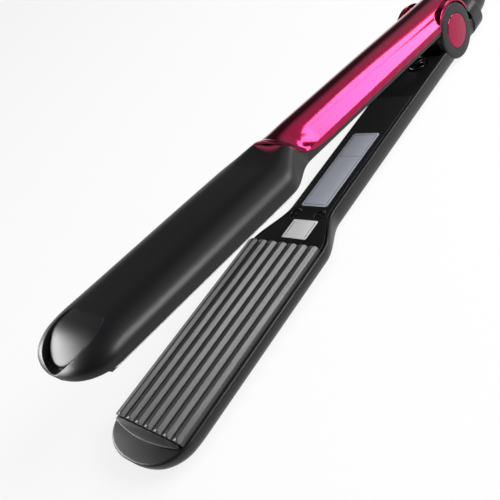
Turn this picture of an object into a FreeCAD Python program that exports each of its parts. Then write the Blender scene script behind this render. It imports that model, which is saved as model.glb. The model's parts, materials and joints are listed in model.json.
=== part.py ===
import FreeCAD, Part
import math
import os

import Sketcher

# A hair crimper: two long arms on one cross pin, held open by a coil spring. Each arm carries
# a corrugated plate near its rounded nose; the ridges of one plate face the valleys of the other.
#
# Every piece is drawn in the frame of its own arm: X runs from the hinge axis to the nose, Y is
# across, and Z points away from the other arm. Z = 0 is the plane where the closed arms meet.

os.makedirs("parts", exist_ok=True)
doc = FreeCAD.newDocument("HairCrimper")
V = FreeCAD.Vector

# Driving dimensions, mm and degrees.
DIMENSIONS = [
    ("open_angle", 8.8, "angle between the arms, sprung open"),
    ("rim_height", 3.1, "mating plane to the rim of each shell"),
    ("barrel_half", 20.2, "half the width of the barrel that holds the plate"),
    ("barrel_depth", 13.2, "mating plane to the outer land of the barrel"),
    ("neck_half", 11.8, "half the width of the handle"),
    ("neck_depth", 12.4, "mating plane to the outer face of the lower handle"),
    ("neck_end", 115.0, "hinge axis to where the handle starts to widen"),
    ("widening", 22.0, "length over which the handle widens to the barrel"),
    ("shoulder_fade", 14.0, "length past the widening over which the shoulders even out"),
    ("nose_length", 15.4, "length of the rounded nose in plan"),
    ("nose_fall", 21.2, "length over which the nose falls off in side view"),
    ("wall", 1.8, "shell wall"),
    ("rim_wall", 0.8, "shell wall beside the plate"),
    ("hub_radius", 12.7, "radius of the round ears at the hinge"),
    ("hub_half", 12.25, "half the width over the ears"),
    ("ear_thickness", 2.85, "thickness of each ear"),
    ("hub_gap", 0.5, "gap between the ears and the upper arm"),
    ("knuckle_radius", 9.0, "radius of the upper arm's knuckle"),
    ("washer_thickness", 0.8, "thickness of each hinge washer"),
    ("pin_radius", 2.5, "radius of the hinge pin"),
    ("bush_radius", 4.0, "outer radius of the hinge bush"),
    ("running_gap", 0.05, "gap of running faces"),
    ("cap_radius", 7.9, "radius of the coloured hinge caps"),
    ("cap_depth", 1.1, "depth of the seat of each hinge cap"),
    ("cap_proud", 0.4, "how far the hinge caps stand proud of the ears"),
    ("tail_end", 24.0, "hinge axis to the rear face of the tail"),
    ("tail_front", 15.2, "hinge axis to the front face of the tail"),
    ("tail_top", 2.9, "height of the tail above the mating plane"),
    ("collar_length", 18.7, "length of the swivel collar"),
    ("collar_radius", 8.3, "radius of the swivel collar at its root"),
    ("collar_tip", 6.4, "radius of the swivel collar at its mouth"),
    ("collar_gap", 1.3, "groove between tail and collar"),
    ("cord_bore", 3.4, "radius of the cord inlet"),
    ("wire_bore", 3.7, "radius of the wire way behind the inlet"),
    ("swivel_neck", 4.6, "radius of the neck that the collar turns on"),
    ("plate_setback", 0.5, "end of the widening to the rear end of the plate"),
    ("plate_length", 88.0, "length of the plate"),
    ("nose_margin", 11.7, "front end of the plate to the end of the nose"),
    ("ridge_pitch", 5.4, "pitch of the ridges"),
    ("ridge_height", 2.0, "height of the ridges"),
    ("ridge_reach", 0.5, "how far the ridges pass the mating plane"),
    ("plate_back", 4.0, "mating plane to the back of the plate"),
    ("carrier_thickness", 2.0, "thickness of the plate carrier"),
    ("ledge_reach", 4.0, "plate end to the middle of the curved ledge"),
    ("ledge_radius", 67.0, "radius of the curved ledge"),
    ("heater_margin", 9.5, "rear end of the plate to the heater"),
    ("heater_front_margin", 3.4, "heater to the solid nose"),
    ("heater_width", 14.0, "width of the heater"),
    ("heater_thickness", 3.0, "thickness of the heater"),
    ("pad_thickness", 0.8, "thickness of the insulating pad"),
    ("inner_start", 13.8, "hinge axis to the rear end of the lower inner cover"),
    ("deck_end", 27.0, "hinge axis to the front end of the upper arm's deck"),
    ("deck_height", 9.0, "mating plane to the back of the upper arm's deck"),
    ("spring_play", 0.9, "gap round the spring in its wells"),
    ("inner_thickness", 2.0, "thickness of the inner cover"),
    ("fit_gap", 0.15, "gap round inset covers and plates"),
    ("step_place", 43.8, "hinge axis to the fine step across the inner cover"),
    ("screw_place", 119.2, "hinge axis to the front pair of cover screws"),
    ("screw_spread", 6.45, "screw centre to the middle of the arm"),
    ("screw_rear", 50.0, "hinge axis to the rear cover screw"),
    ("screw_head", 2.4, "radius of the screw heads"),
    ("screw_shank", 1.2, "radius of the screw shanks"),
    ("screw_length", 5.0, "length of the screw shanks"),
    ("scoop_radius", 15.0, "radius of the finger scoop in plan"),
    ("scoop_place", 14.0, "middle of the scoop to the end of the nose"),
    ("scoop_floor", 5.4, "mating plane to the floor of the scoop"),
    ("scoop_slope", 30.0, "slope of the scoop's ramp"),
    ("ramp_top", 16.2, "top edge of the ramp to the end of the nose"),
    ("cover_depth", 16.0, "mating plane to the crown of the coloured cover"),
    ("cover_split", 5.2, "mating plane to the lower edge of the coloured cover"),
    ("cover_end", 14.2, "hinge axis to the rear end of the upper arm"),
    ("cover_front", 120.3, "hinge axis to the front edge of the coloured cover"),
    ("shoulder_depth", 15.6, "mating plane to the barrel's crown at the coloured cover"),
    ("spring_place", 20.0, "hinge axis to the spring"),
    ("spring_radius", 3.5, "mean radius of the spring"),
    ("spring_wire", 1.1, "wire diameter of the spring"),
    ("spring_turns", 5.5, "turns of the spring"),
    ("spring_seat", 8.3, "mating plane to each spring seat"),
    ("spring_slack", 0.8, "what the open spring is shorter than its space"),
    ("slider_travel", 4.0, "travel of the power switch"),
    ("slider_place", 62.0, "hinge axis to the middle of the switch slot"),
    ("slider_length", 9.0, "length of the switch slider"),
    ("slider_width", 4.6, "width of the switch slider"),
    ("lens_place", 84.0, "hinge axis to the indicator lens"),
    ("lens_radius", 1.8, "radius of the indicator lens"),
    ("board_margin", 2.4, "circuit board to the posts of the screws"),
    ("board_width", 15.0, "width of the circuit board"),
    ("post_radius", 2.3, "radius of the screw posts"),
]
sheet = doc.addObject("Spreadsheet::Sheet", "Dimensions")
for row, (alias, value, note) in enumerate(DIMENSIONS, 1):
    sheet.set("A%d" % row, note)
    sheet.set("B%d" % row, str(value))
    sheet.setAlias("B%d" % row, alias)
doc.recompute()
dim = {alias: float(sheet.get(alias)) for alias, value, note in DIMENSIONS}

rim = dim["rim_height"]
flare_end = dim["neck_end"] + dim["widening"]
barrel_start = flare_end + dim["shoulder_fade"]
plate_start = flare_end + dim["plate_setback"]
plate_end = plate_start + dim["plate_length"]
nose = plate_end + dim["nose_margin"]
nose_root = nose - dim["nose_fall"]
scoop_centre = nose - dim["scoop_place"]
hollow_end = scoop_centre - dim["scoop_radius"] - dim["wall"]
heater_start = plate_start + dim["heater_margin"]
heater_length = hollow_end - dim["heater_front_margin"] - heater_start
plate_half = 3.5 * dim["ridge_pitch"]
tail_reach = dim["tail_end"] + dim["collar_gap"] + dim["collar_length"]
ear_inside = dim["hub_half"] - dim["ear_thickness"]
carrier_back = dim["plate_back"] + dim["carrier_thickness"]
inner_back = rim + dim["inner_thickness"]
neck_inside = dim["neck_half"] - dim["wall"]
spring_outside = dim["spring_radius"] + dim["spring_wire"] / 2

# Placing the arms.
# Row frame: Z up, noses towards -X, origin under the middle of the lower arm, which lies on the
# land of its barrel. The upper arm is turned open about the hinge pin.
hinge = V((nose - tail_reach) / 2, 0, dim["barrel_depth"])
LOWER = FreeCAD.Placement(hinge, FreeCAD.Rotation(V(0, 1, 0), 180))
OPEN = FreeCAD.Rotation(V(0, 1, 0), dim["open_angle"])
UPPER = FreeCAD.Placement(hinge, OPEN.multiply(FreeCAD.Rotation(V(0, 0, 1), 180)))

parts = []


def place(piece, node, placement):
    """Names a finished piece, puts it in its arm and lists it for export."""
    piece.Label = node
    piece.Placement = placement
    parts.append(piece)
    return piece


# Sketch and feature helpers.
def new_body(name):
    return doc.addObject("PartDesign::Body", name)


def new_sketch(body, role, offset, name, bound=None):
    """A sketch on one of the body's origin planes, moved along the plane's normal."""
    sketch = body.newObject("Sketcher::SketchObject", name)
    plane = [p for p in body.Origin.OriginFeatures if p.Role == role][0]
    sketch.AttachmentSupport = [(plane, "")]
    sketch.MapMode = "FlatFace"
    sketch.AttachmentOffset = FreeCAD.Placement(V(0, 0, offset), FreeCAD.Rotation())
    if bound:
        sketch.setExpression("AttachmentOffset.Base.z", bound)
    return sketch


def close_loop(sketch, edges):
    """Adds edges head to tail as one closed loop."""
    ids = [sketch.addGeometry(edge, False) for edge in edges]
    for this, following in zip(ids, ids[1:] + ids[:1]):
        sketch.addConstraint(Sketcher.Constraint("Coincident", this, 2, following, 1))


def polygon(sketch, points):
    points = [V(x, y, 0) for x, y in points]
    close_loop(sketch, [Part.LineSegment(a, b) for a, b in zip(points, points[1:] + points[:1])])


def rectangle(sketch, x0, y0, x1, y1):
    polygon(sketch, [(x0, y0), (x1, y0), (x1, y1), (x0, y1)])


def circle(sketch, x, y, radius, bound=None):
    """A circle whose radius can follow a cell of the sheet."""
    index = sketch.addGeometry(Part.Circle(V(x, y, 0), V(0, 0, 1), radius), False)
    number = sketch.addConstraint(Sketcher.Constraint("Radius", index, radius))
    if bound:
        sketch.setExpression("Constraints[%d]" % number, bound)


def bezier(*points):
    """A cubic from four points, as a spline edge."""
    curve = Part.BSplineCurve()
    curve.buildFromPolesMultsKnots([V(x, y, 0) for x, y in points], [4, 4], [0, 1], False, 3)
    return curve


def line(a, b):
    return Part.LineSegment(V(a[0], a[1], 0), V(b[0], b[1], 0))


def arc_from(start, tangent, end):
    """Arc that leaves the start along the tangent and reaches the end."""
    chord = end - start
    along = V(chord).normalize()
    sideways = tangent - along * tangent.dot(along)
    bulge = math.tan(tangent.getAngle(along) / 2) * chord.Length / 2
    middle = start + chord * 0.5 + sideways.normalize() * bulge
    return Part.Arc(start, middle, end)


def biarc(p0, t0, p1, t1):
    """Two arcs that meet smoothly, between two points with given directions."""
    v = p1 - p0
    b = v.dot(t0 + t1)
    a = 2 * (1 - t0.dot(t1))
    d = (-b + math.sqrt(b * b + a * v.dot(v))) / a
    joint = (p0 + p1 + (t0 - t1) * d) * 0.5
    way = (p1 - p0 - (t0 + t1) * d).normalize()
    return [arc_from(p0, t0, joint), arc_from(joint, way, p1)]


def feature(body, kind, sketch, length, bound=None):
    """Pads along the sketch's normal; pockets against it."""
    made = body.newObject("PartDesign::" + kind, sketch.Name + kind)
    made.Profile = sketch
    made.Length = length
    if bound:
        made.setExpression("Length", bound)
    sketch.Visibility = False
    return made


def pad(body, sketch, length, bound=None):
    return feature(body, "Pad", sketch, length, bound)


def pocket(body, sketch, length, bound=None):
    return feature(body, "Pocket", sketch, length, bound)


def loft(body, kind, sketches, name):
    made = body.newObject("PartDesign::" + kind, name)
    made.Profile = sketches[0]
    made.Sections = sketches[1:]
    made.Ruled = False
    return made


def revolve(body, sketch, axis, kind="Revolution"):
    """Turns a profile a full turn about one of the sketch's own axes."""
    made = body.newObject("PartDesign::" + kind, sketch.Name + kind)
    made.Profile = sketch
    made.ReferenceAxis = (sketch, [axis])
    made.Angle = 360
    return made


def boolean(kind, name, base, tool):
    made = doc.addObject("Part::" + kind, name)
    made.Base = base
    made.Tool = tool
    return made


# Form of the arms.
def smooth(x, start, end):
    t = min(max((x - start) / (end - start), 0.0), 1.0)
    return t * t * (3 - 2 * t)


def rounded_end(x, length, power):
    """Falls from 1 to 0 over the last stretch before the nose, like a superellipse."""
    u = min(max((x - nose) / length + 1, 0.0), 1.0)
    return (1 - u ** power) ** (1 / power)


def half_width(x):
    grown = smooth(x, dim["neck_end"], flare_end)
    width = dim["neck_half"] + (dim["barrel_half"] - dim["neck_half"]) * grown
    return width * rounded_end(x, dim["nose_length"], 2.3)


def nose_fall(x, depth):
    return rim + (depth - rim) * rounded_end(x, dim["nose_fall"], 2.0)


def lower_depth(x):
    rise = dim["barrel_depth"] - dim["neck_depth"]
    return nose_fall(x, dim["neck_depth"] + rise * smooth(x, dim["neck_end"], flare_end))


def upper_depth(x):
    rise = dim["shoulder_depth"] - dim["barrel_depth"]
    return nose_fall(x, dim["barrel_depth"] + rise * (1 - smooth(x, dim["neck_end"], barrel_start)))


def shell_section(body, x, width, depth, foot, name):
    """A D-shaped section: straight sides, soft shoulders and a flat land."""
    sketch = new_sketch(body, "YZ_Plane", x, name)
    side = foot + 0.16 * (depth - foot)
    land = 0.36 * width
    right = biarc(V(width, side, 0), V(0, 1, 0), V(land, depth, 0), V(-1, 0, 0))
    left = biarc(V(-land, depth, 0), V(-1, 0, 0), V(-width, side, 0), V(0, -1, 0))
    close_loop(sketch, [
        line((-width, foot), (width, foot)),
        line((width, foot), (width, side)),
        *right,
        line((land, depth), (-land, depth)),
        *left,
        line((-width, side), (-width, foot)),
    ])
    return sketch


def even(start, end, step):
    """Evenly spaced places for a loft's sections, which keeps its faces from swinging."""
    count = max(2, round((end - start) / step))
    return [start + (end - start) * i / count for i in range(count + 1)]


def side_wall(x):
    """The shell is thinner beside the plate."""
    return dim["wall"] + (dim["rim_wall"] - dim["wall"]) * smooth(x, dim["neck_end"], flare_end)


def outer_section(body, depth_at, x, name):
    return shell_section(body, x, half_width(x), depth_at(x), rim, name)


def inner_section(body, depth_at, x, name):
    return shell_section(body, x, half_width(x) - side_wall(x), depth_at(x) - dim["wall"],
                         rim - 1, name)


def make_shell(name, depth_at, rear, hollow_rear):
    """A D-shaped shell, hollow from the rim; its nose is solid round the scoop."""
    body = new_body(name)
    pad(body, outer_section(body, depth_at, rear, name + "Handle"), dim["neck_end"] - rear)
    pad(body, outer_section(body, depth_at, barrel_start, name + "Barrel"),
        nose_root - barrel_start)
    for tag, places in (("Flare", even(dim["neck_end"], barrel_start, 6)),
                        ("Nose", even(nose_root, nose - 0.1, 3.5))):
        sections = [outer_section(body, depth_at, x, "%s%s%d" % (name, tag, i))
                    for i, x in enumerate(places)]
        loft(body, "AdditiveLoft", sections, name + tag)
    pocket(body, inner_section(body, depth_at, dim["neck_end"], name + "HandleHollow"),
           dim["neck_end"] - hollow_rear)
    pocket(body, inner_section(body, depth_at, hollow_end, name + "BarrelHollow"),
           hollow_end - barrel_start)
    sections = [inner_section(body, depth_at, x, "%sFlareHollow%d" % (name, i))
                for i, x in enumerate(even(dim["neck_end"], barrel_start, 9))]
    loft(body, "SubtractiveLoft", sections, name + "FlareHollow")
    # Shallow bay in the nose for the front of the plate and of its carrier.
    bay = new_sketch(body, "XY_Plane", carrier_back + dim["fit_gap"], name + "Bay")
    side = plate_half + dim["fit_gap"]
    rectangle(bay, hollow_end - 2, -side, plate_end + 0.45, side)
    pocket(body, bay, carrier_back)
    slot = new_sketch(body, "XY_Plane", carrier_back + dim["fit_gap"], name + "LedgeSlot")
    side = ledge_half() - 1 + dim["fit_gap"]
    rectangle(slot, plate_end, -side, plate_end + 1.5, side)
    pocket(body, slot, carrier_back)
    return body


def ledge_half():
    """Half the width of the curved ledge, inside the shell's rounded rim."""
    return half_width(plate_end + 1.5) - dim["rim_wall"] - 0.9


def scoop_tool(name):
    """A round well in the nose whose floor climbs a convex ramp to the barrel's land."""
    above = 2 * dim["barrel_depth"]
    well = doc.addObject("Part::Cylinder", name + "Well")
    well.setExpression("Radius", "Dimensions.scoop_radius")
    well.Height = above
    well.Placement.Base = V(scoop_centre, 0, dim["scoop_floor"])
    ramp = doc.addObject("Part::Cylinder", name + "Ramp")
    ramp.Radius = 2 * dim["scoop_radius"]
    ramp.Height = 6 * dim["scoop_radius"]
    slope = math.radians(dim["scoop_slope"])
    along = V(math.cos(slope), 0, -math.sin(slope))
    out = V(math.sin(slope), 0, math.cos(slope))
    crest = V(nose - dim["ramp_top"], 0, dim["barrel_depth"])
    ramp.Placement = FreeCAD.Placement(
        crest - out * ramp.Radius.Value - along * ramp.Radius.Value,
        FreeCAD.Rotation(V(0, 0, 1), along))
    return boolean("Cut", name, well, ramp)


def flare_edge(end, inset, side):
    """Edge of an inset cover along the widening of the arm."""
    edge = Part.BSplineCurve()
    edge.interpolate([V(x, side * (half_width(x) - inset), 0)
                      for x in even(dim["neck_end"], end, 3.7)[::side]])
    return edge


def inset_plan(sketch, start, end, inset):
    """A cover outline: straight along the handle, then flared with the shell."""
    neck = dim["neck_end"]
    back = half_width(start) - inset
    front = half_width(end) - inset
    close_loop(sketch, [
        line((start, -back), (start, back)),
        line((start, back), (neck, back)),
        flare_edge(end, inset, 1),
        line((end, front), (end, -front)),
        flare_edge(end, inset, -1),
        line((neck, -back), (start, -back)),
    ])


# Shells.
def carrier_posts(body, name):
    """Posts under the plate carrier."""
    sketch = new_sketch(body, "XY_Plane", carrier_back, name)
    for x in (plate_start + 8, plate_end - 24):
        for y in (-11.0, 11.0):
            circle(sketch, x, y, 2.2)
    pad(body, sketch, dim["barrel_depth"] - 1.3 - carrier_back)


def screw_pair():
    return [(dim["screw_place"], side * dim["screw_spread"]) for side in (-1, 1)]


def upper_screws():
    return screw_pair() + [(dim["screw_rear"], 0)]


def cover_posts(body, name, roof, places):
    """Bored posts that take the inner cover's screws."""
    sketch = new_sketch(body, "XY_Plane", inner_back, name)
    for x, y in places:
        circle(sketch, x, y, dim["post_radius"], "Dimensions.post_radius")
    pad(body, sketch, roof - inner_back)
    holes = new_sketch(body, "XY_Plane", inner_back + dim["screw_length"], name + "Bores")
    for x, y in places:
        circle(holes, x, y, dim["screw_shank"], "Dimensions.screw_shank")
    pocket(body, holes, dim["screw_length"] + 0.5)


def make_lower_housing():
    body = make_shell("LowerShell", lower_depth, -dim["tail_front"] - 0.5, -dim["tail_front"] + 0.6)
    # Tail: a rounded block behind the hinge that carries the swivel collar.
    tail = new_sketch(body, "YZ_Plane", -dim["tail_end"], "Tail", "-Dimensions.tail_end")
    top = -dim["tail_top"]
    bottom = dim["barrel_depth"] - 0.4
    half = dim["hub_half"]
    soft = 6.0
    arcs = []
    for cy, cz, a0 in ((half - soft, bottom - soft, 0), (soft - half, bottom - soft, 90),
                       (soft - half, top + soft, 180), (half - soft, top + soft, 270)):
        arcs.append(Part.ArcOfCircle(Part.Circle(V(cy, cz, 0), V(0, 0, 1), soft),
                                     math.radians(a0), math.radians(a0 + 90)))
    edges = []
    for this, following in zip(arcs, arcs[1:] + arcs[:1]):
        edges += [this, Part.LineSegment(this.EndPoint, following.StartPoint)]
    close_loop(tail, edges)
    pad(body, tail, dim["tail_end"] - dim["tail_front"],
        "Dimensions.tail_end - Dimensions.tail_front")
    room = new_sketch(body, "XZ_Plane", ear_inside, "KnuckleRoom")
    circle(room, 0, 0, dim["knuckle_radius"] + 0.4)
    pocket(body, room, 2 * ear_inside)
    # Ears: round cheeks on both sides of the knuckle.
    for side, name in ((1, "EarNear"), (-1, "EarFar")):
        outer = dim["hub_half"] if side > 0 else -ear_inside
        ear = new_sketch(body, "XZ_Plane", -outer, name)
        circle(ear, 0, 0, dim["hub_radius"], "Dimensions.hub_radius")
        pad(body, ear, dim["ear_thickness"], "Dimensions.ear_thickness")
    seat = new_sketch(body, "XZ_Plane", -(dim["hub_half"] - dim["cap_depth"]), "CapSeatNear")
    circle(seat, 0, 0, dim["cap_radius"] + dim["fit_gap"])
    pocket(body, seat, dim["cap_depth"] + 1)
    seat = new_sketch(body, "XZ_Plane", dim["hub_half"] + 1, "CapSeatFar")
    circle(seat, 0, 0, dim["cap_radius"] + dim["fit_gap"])
    pocket(body, seat, dim["cap_depth"] + 1)
    bore = new_sketch(body, "XZ_Plane", dim["hub_half"] + 1, "PinBore")
    circle(bore, 0, 0, dim["pin_radius"], "Dimensions.pin_radius")
    pocket(body, bore, 2 * dim["hub_half"] + 2)
    # Round bore of the swivel, with a counterbore for its flange.
    collar_z = (top + bottom) / 2
    neck = new_sketch(body, "YZ_Plane", -dim["tail_front"] + 1.5, "SwivelBore")
    circle(neck, 0, collar_z, dim["swivel_neck"] + dim["running_gap"])
    pocket(body, neck, dim["tail_end"])
    rest = new_sketch(body, "YZ_Plane", -dim["tail_front"] + 1.5, "SwivelSeat")
    circle(rest, 0, collar_z, dim["swivel_neck"] + 1.2 + dim["running_gap"])
    pocket(body, rest, 1.5 + 2.0)
    # Spring seat and posts.
    cup = new_sketch(body, "XY_Plane", dim["spring_seat"], "SpringPost")
    circle(cup, dim["spring_place"], 0, spring_outside + 0.6)
    pad(body, cup, lower_depth(dim["spring_place"]) - dim["wall"] / 2 - dim["spring_seat"])
    cover_posts(body, "LowerPosts", dim["neck_depth"] - dim["wall"] / 2, screw_pair())
    carrier_posts(body, "LowerCarrierPosts")
    return boolean("Cut", "LowerHousing", body, scoop_tool("LowerScoop"))


place(make_lower_housing(), "lower_housing", LOWER)


def region_above_split(name, gap):
    """Everything on the coloured cover's side of the parting line, as a solid."""
    body = new_body(name)
    wide = 2 * dim["barrel_half"]
    sketch = new_sketch(body, "XZ_Plane", -wide, name + "Line")
    low = dim["cover_split"] + gap
    front = dim["cover_front"] - gap
    high = dim["shoulder_depth"] + 3.4
    far = -2 * dim["cover_end"]
    roof = 2 * dim["shoulder_depth"]
    close_loop(sketch, [
        line((far, roof), (far, low)),
        line((far, low), (front - 40, low)),
        bezier((front - 40, low), (front - 15, low + 0.4), (front - 1.8, low + 4), (front, high)),
        line((front, high), (front, roof)),
        line((front, roof), (far, roof)),
    ])
    pad(body, sketch, 2 * wide)
    return body


def hub_clearance(name, inner):
    """Two round discs beside the knuckle, where the lower arm's ears turn."""
    body = new_body(name)
    for side in (1, -1):
        outer = dim["hub_half"] + 8 if side > 0 else -inner
        sketch = new_sketch(body, "XZ_Plane", -outer, "%s_%d" % (name, side + 1))
        circle(sketch, 0, 0, dim["hub_radius"] + dim["hub_gap"])
        pad(body, sketch, dim["hub_half"] + 8 - inner)
    return body


def make_upper_housing():
    body = make_shell("UpperShell", upper_depth, -dim["cover_end"], -dim["cover_end"] + dim["wall"])
    cover_posts(body, "UpperPosts", dim["shoulder_depth"] - dim["wall"] / 2, screw_pair())
    carrier_posts(body, "UpperCarrierPosts")
    split = boolean("Cut", "UpperSplit", body, region_above_split("AboveSplit", 0))
    cleared = boolean("Cut", "UpperCleared", split, hub_clearance("UpperHubGap", ear_inside - 0.2))
    scooped = boolean("Cut", "UpperScooped", cleared, scoop_tool("UpperScoop"))
    return boolean("Fuse", "UpperHousing", scooped, make_core())


def make_core():
    """Knuckle between the ears, and the deck that joins it to the handle and seats the spring."""
    body = new_body("UpperCore")
    half = ear_inside - dim["washer_thickness"] - dim["running_gap"]
    knuckle = new_sketch(body, "XZ_Plane", -half, "Knuckle")
    circle(knuckle, 0, 0, dim["knuckle_radius"], "Dimensions.knuckle_radius")
    pad(body, knuckle, 2 * half)
    web = new_sketch(body, "XZ_Plane", -half, "KnuckleWeb")
    rear = dim["cover_end"] - dim["wall"]
    rectangle(web, -rear + 0.2, rim, dim["deck_end"], dim["deck_height"])
    pad(body, web, 2 * half)
    deck = new_sketch(body, "XY_Plane", rim, "DeckSlab")
    rectangle(deck, dim["inner_start"], -neck_inside - 0.6, dim["deck_end"], neck_inside + 0.6)
    rectangle(deck, -rear - 0.8, -half, -2, half)
    pad(body, deck, dim["cover_split"] - rim)
    below = new_sketch(body, "XY_Plane", rim, "DeckUnderside")
    rectangle(below, dim["knuckle_radius"] + 0.5, -half - 1, dim["deck_end"] + 1, half + 1)
    pocket(body, below, rim + 1)
    bore = new_sketch(body, "XZ_Plane", dim["hub_half"], "BushBore")
    circle(bore, 0, 0, dim["bush_radius"], "Dimensions.bush_radius")
    pocket(body, bore, 2 * dim["hub_half"])
    well = new_sketch(body, "XY_Plane", dim["spring_seat"], "UpperSpringWell")
    circle(well, dim["spring_place"], 0, spring_outside + dim["spring_play"])
    pocket(body, well, dim["spring_seat"])
    return body


place(make_upper_housing(), "upper_housing", UPPER)


def cover_section(body, x, width, depth, thickness, name):
    """Section of the coloured cover: low sides, a sloping facet and a round crown."""
    sketch = new_sketch(body, "YZ_Plane", x, name)
    foot = dim["cover_split"] - 1.0
    waist = dim["cover_split"] + 2.8
    corner = depth - 3.5
    w = width - thickness
    top = depth - thickness
    brow = 0.675 * w
    corner -= thickness
    arc = Part.Arc(V(brow, corner, 0), V(0, top, 0), V(-brow, corner, 0))
    close_loop(sketch, [
        line((-w, foot), (w, foot)),
        line((w, foot), (w, waist)),
        line((w, waist), (brow, corner)),
        arc,
        line((-brow, corner), (-w, waist)),
        line((-w, waist), (-w, foot)),
    ])
    return sketch


def cover_crown(x):
    """The coloured cover falls off a little towards the barrel."""
    return dim["cover_depth"] - 1.5 * smooth(x, dim["neck_end"] / 2, dim["cover_front"])


def make_upper_cover():
    body = new_body("CoverShell")
    fall = dim["neck_end"] / 2
    for kind, make, side, wall, start in (("Out", "AdditiveLoft", 0.05, 0, -dim["cover_end"]),
                                          ("In", "SubtractiveLoft", 0, dim["wall"],
                                           -dim["cover_end"] + dim["wall"])):
        front = dim["cover_front"] + (3 if wall == 0 else 5)
        places = even(fall, front, 16)
        sections = [cover_section(body, x, half_width(x) + side, cover_crown(x), wall,
                                  "Cover%s%d" % (kind, i)) for i, x in enumerate(places)]
        straight = cover_section(body, start if wall == 0 else fall, dim["neck_half"] + side,
                                 cover_crown(fall), wall, "CoverStraight" + kind)
        (pad if wall == 0 else pocket)(body, straight, fall - start)
        loft(body, make, sections, "CoverForm" + kind)
    # Raised collar round each ear.
    reach = dim["hub_radius"] + dim["hub_gap"]
    for side in (1, -1):
        outer_face = dim["hub_half"] + 0.1 if side > 0 else -ear_inside
        collar = new_sketch(body, "XZ_Plane", -outer_face, "Collar_%d" % (side + 1))
        rise = math.asin(dim["cover_split"] / (reach + 2.0))
        out = Part.ArcOfCircle(Part.Circle(V(0, 0, 0), V(0, 0, 1), reach + 2.0), rise, math.pi - rise)
        fall = math.asin(dim["cover_split"] / (reach - 0.6))
        back = Part.ArcOfCircle(Part.Circle(V(0, 0, 0), V(0, 0, 1), reach - 0.6), fall, math.pi - fall)
        ids = [collar.addGeometry(g, False) for g in (
            out, Part.LineSegment(out.EndPoint, back.EndPoint), back,
            Part.LineSegment(back.StartPoint, out.StartPoint))]
        pad(body, collar, dim["ear_thickness"] + 0.1)
    cover_posts(body, "CoverPost", dim["cover_depth"] - dim["wall"] / 2, [(dim["screw_rear"], 0)])
    common = boolean("Common", "CoverAbove", body, region_above_split("CoverRegion", 0.1))
    return boolean("Cut", "UpperCover", common, hub_clearance("CoverHubGap", ear_inside - 0.2))


place(make_upper_cover(), "upper_cover", UPPER)


# Inner covers.
def inner_cover(name, start, places, extra):
    body = new_body(name)
    plan = new_sketch(body, "XY_Plane", rim, name + "Plan", "Dimensions.rim_height")
    inset_plan(plan, start, plate_start - 0.6, dim["wall"] + dim["fit_gap"])
    pad(body, plan, dim["inner_thickness"], "Dimensions.inner_thickness")
    # The rear end is a little lower, which leaves a fine step across the cover.
    step = new_sketch(body, "XY_Plane", rim + 0.4, name + "Step")
    rectangle(step, start - 1, -20, dim["step_place"], 20)
    pocket(body, step, 1.0)
    heads = new_sketch(body, "XY_Plane", rim + 1.1, name + "Heads")
    shanks = new_sketch(body, "XY_Plane", inner_back + 0.5, name + "Shanks")
    for x, y in places:
        circle(heads, x, y, dim["screw_head"] + 0.3)
        circle(shanks, x, y, dim["screw_shank"] + 0.2)
    pocket(body, heads, 2.0)
    pocket(body, shanks, dim["inner_thickness"] + 1)
    extra(body)
    return body


def spring_well(body):
    well = new_sketch(body, "XY_Plane", inner_back + 0.5, "LowerSpringWell")
    circle(well, dim["spring_place"], 0, spring_outside + dim["spring_play"])
    pocket(body, well, dim["inner_thickness"] + 1)


def switch_openings(body):
    slot = new_sketch(body, "XY_Plane", inner_back + 0.5, "SwitchSlot")
    reach = (dim["slider_length"] + dim["slider_travel"]) / 2 + 0.3
    half = dim["slider_width"] / 2 + 0.25
    rectangle(slot, dim["slider_place"] - reach, -half, dim["slider_place"] + reach, half)
    pocket(body, slot, dim["inner_thickness"] + 1)
    hole = new_sketch(body, "XY_Plane", inner_back + 0.5, "LensHole")
    circle(hole, dim["lens_place"], 0, dim["lens_radius"] + 0.05)
    pocket(body, hole, dim["inner_thickness"] + 1)


place(inner_cover("LowerInner", dim["inner_start"], screw_pair(), spring_well),
      "lower_inner_cover", LOWER)
place(inner_cover("UpperInner", dim["deck_end"] + dim["fit_gap"], upper_screws(), switch_openings),
      "upper_inner_cover", UPPER)


def screws(name, placement, node, places):
    """Pan-head screws of one cover, as one group."""
    solids = []
    for x, y in places:
        head = Part.makeCylinder(dim["screw_head"], 0.8, V(x, y, rim + 0.3))
        slot = Part.makeBox(0.7, 3.2, 0.5, V(x - 0.35, y - 1.6, rim + 0.1))
        cross = Part.makeBox(3.2, 0.7, 0.5, V(x - 1.6, y - 0.35, rim + 0.1))
        shank = Part.makeCylinder(dim["screw_shank"], dim["screw_length"], V(x, y, rim + 1.1))
        solids.append(head.fuse(shank).cut(slot).cut(cross).removeSplitter())
    made = doc.addObject("Part::Feature", name)
    made.Shape = Part.makeCompound(solids)
    return place(made, node, placement)


screws("LowerScrews", LOWER, "lower_cover_screws", screw_pair())
screws("UpperScrews", UPPER, "upper_cover_screws", upper_screws())


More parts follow.
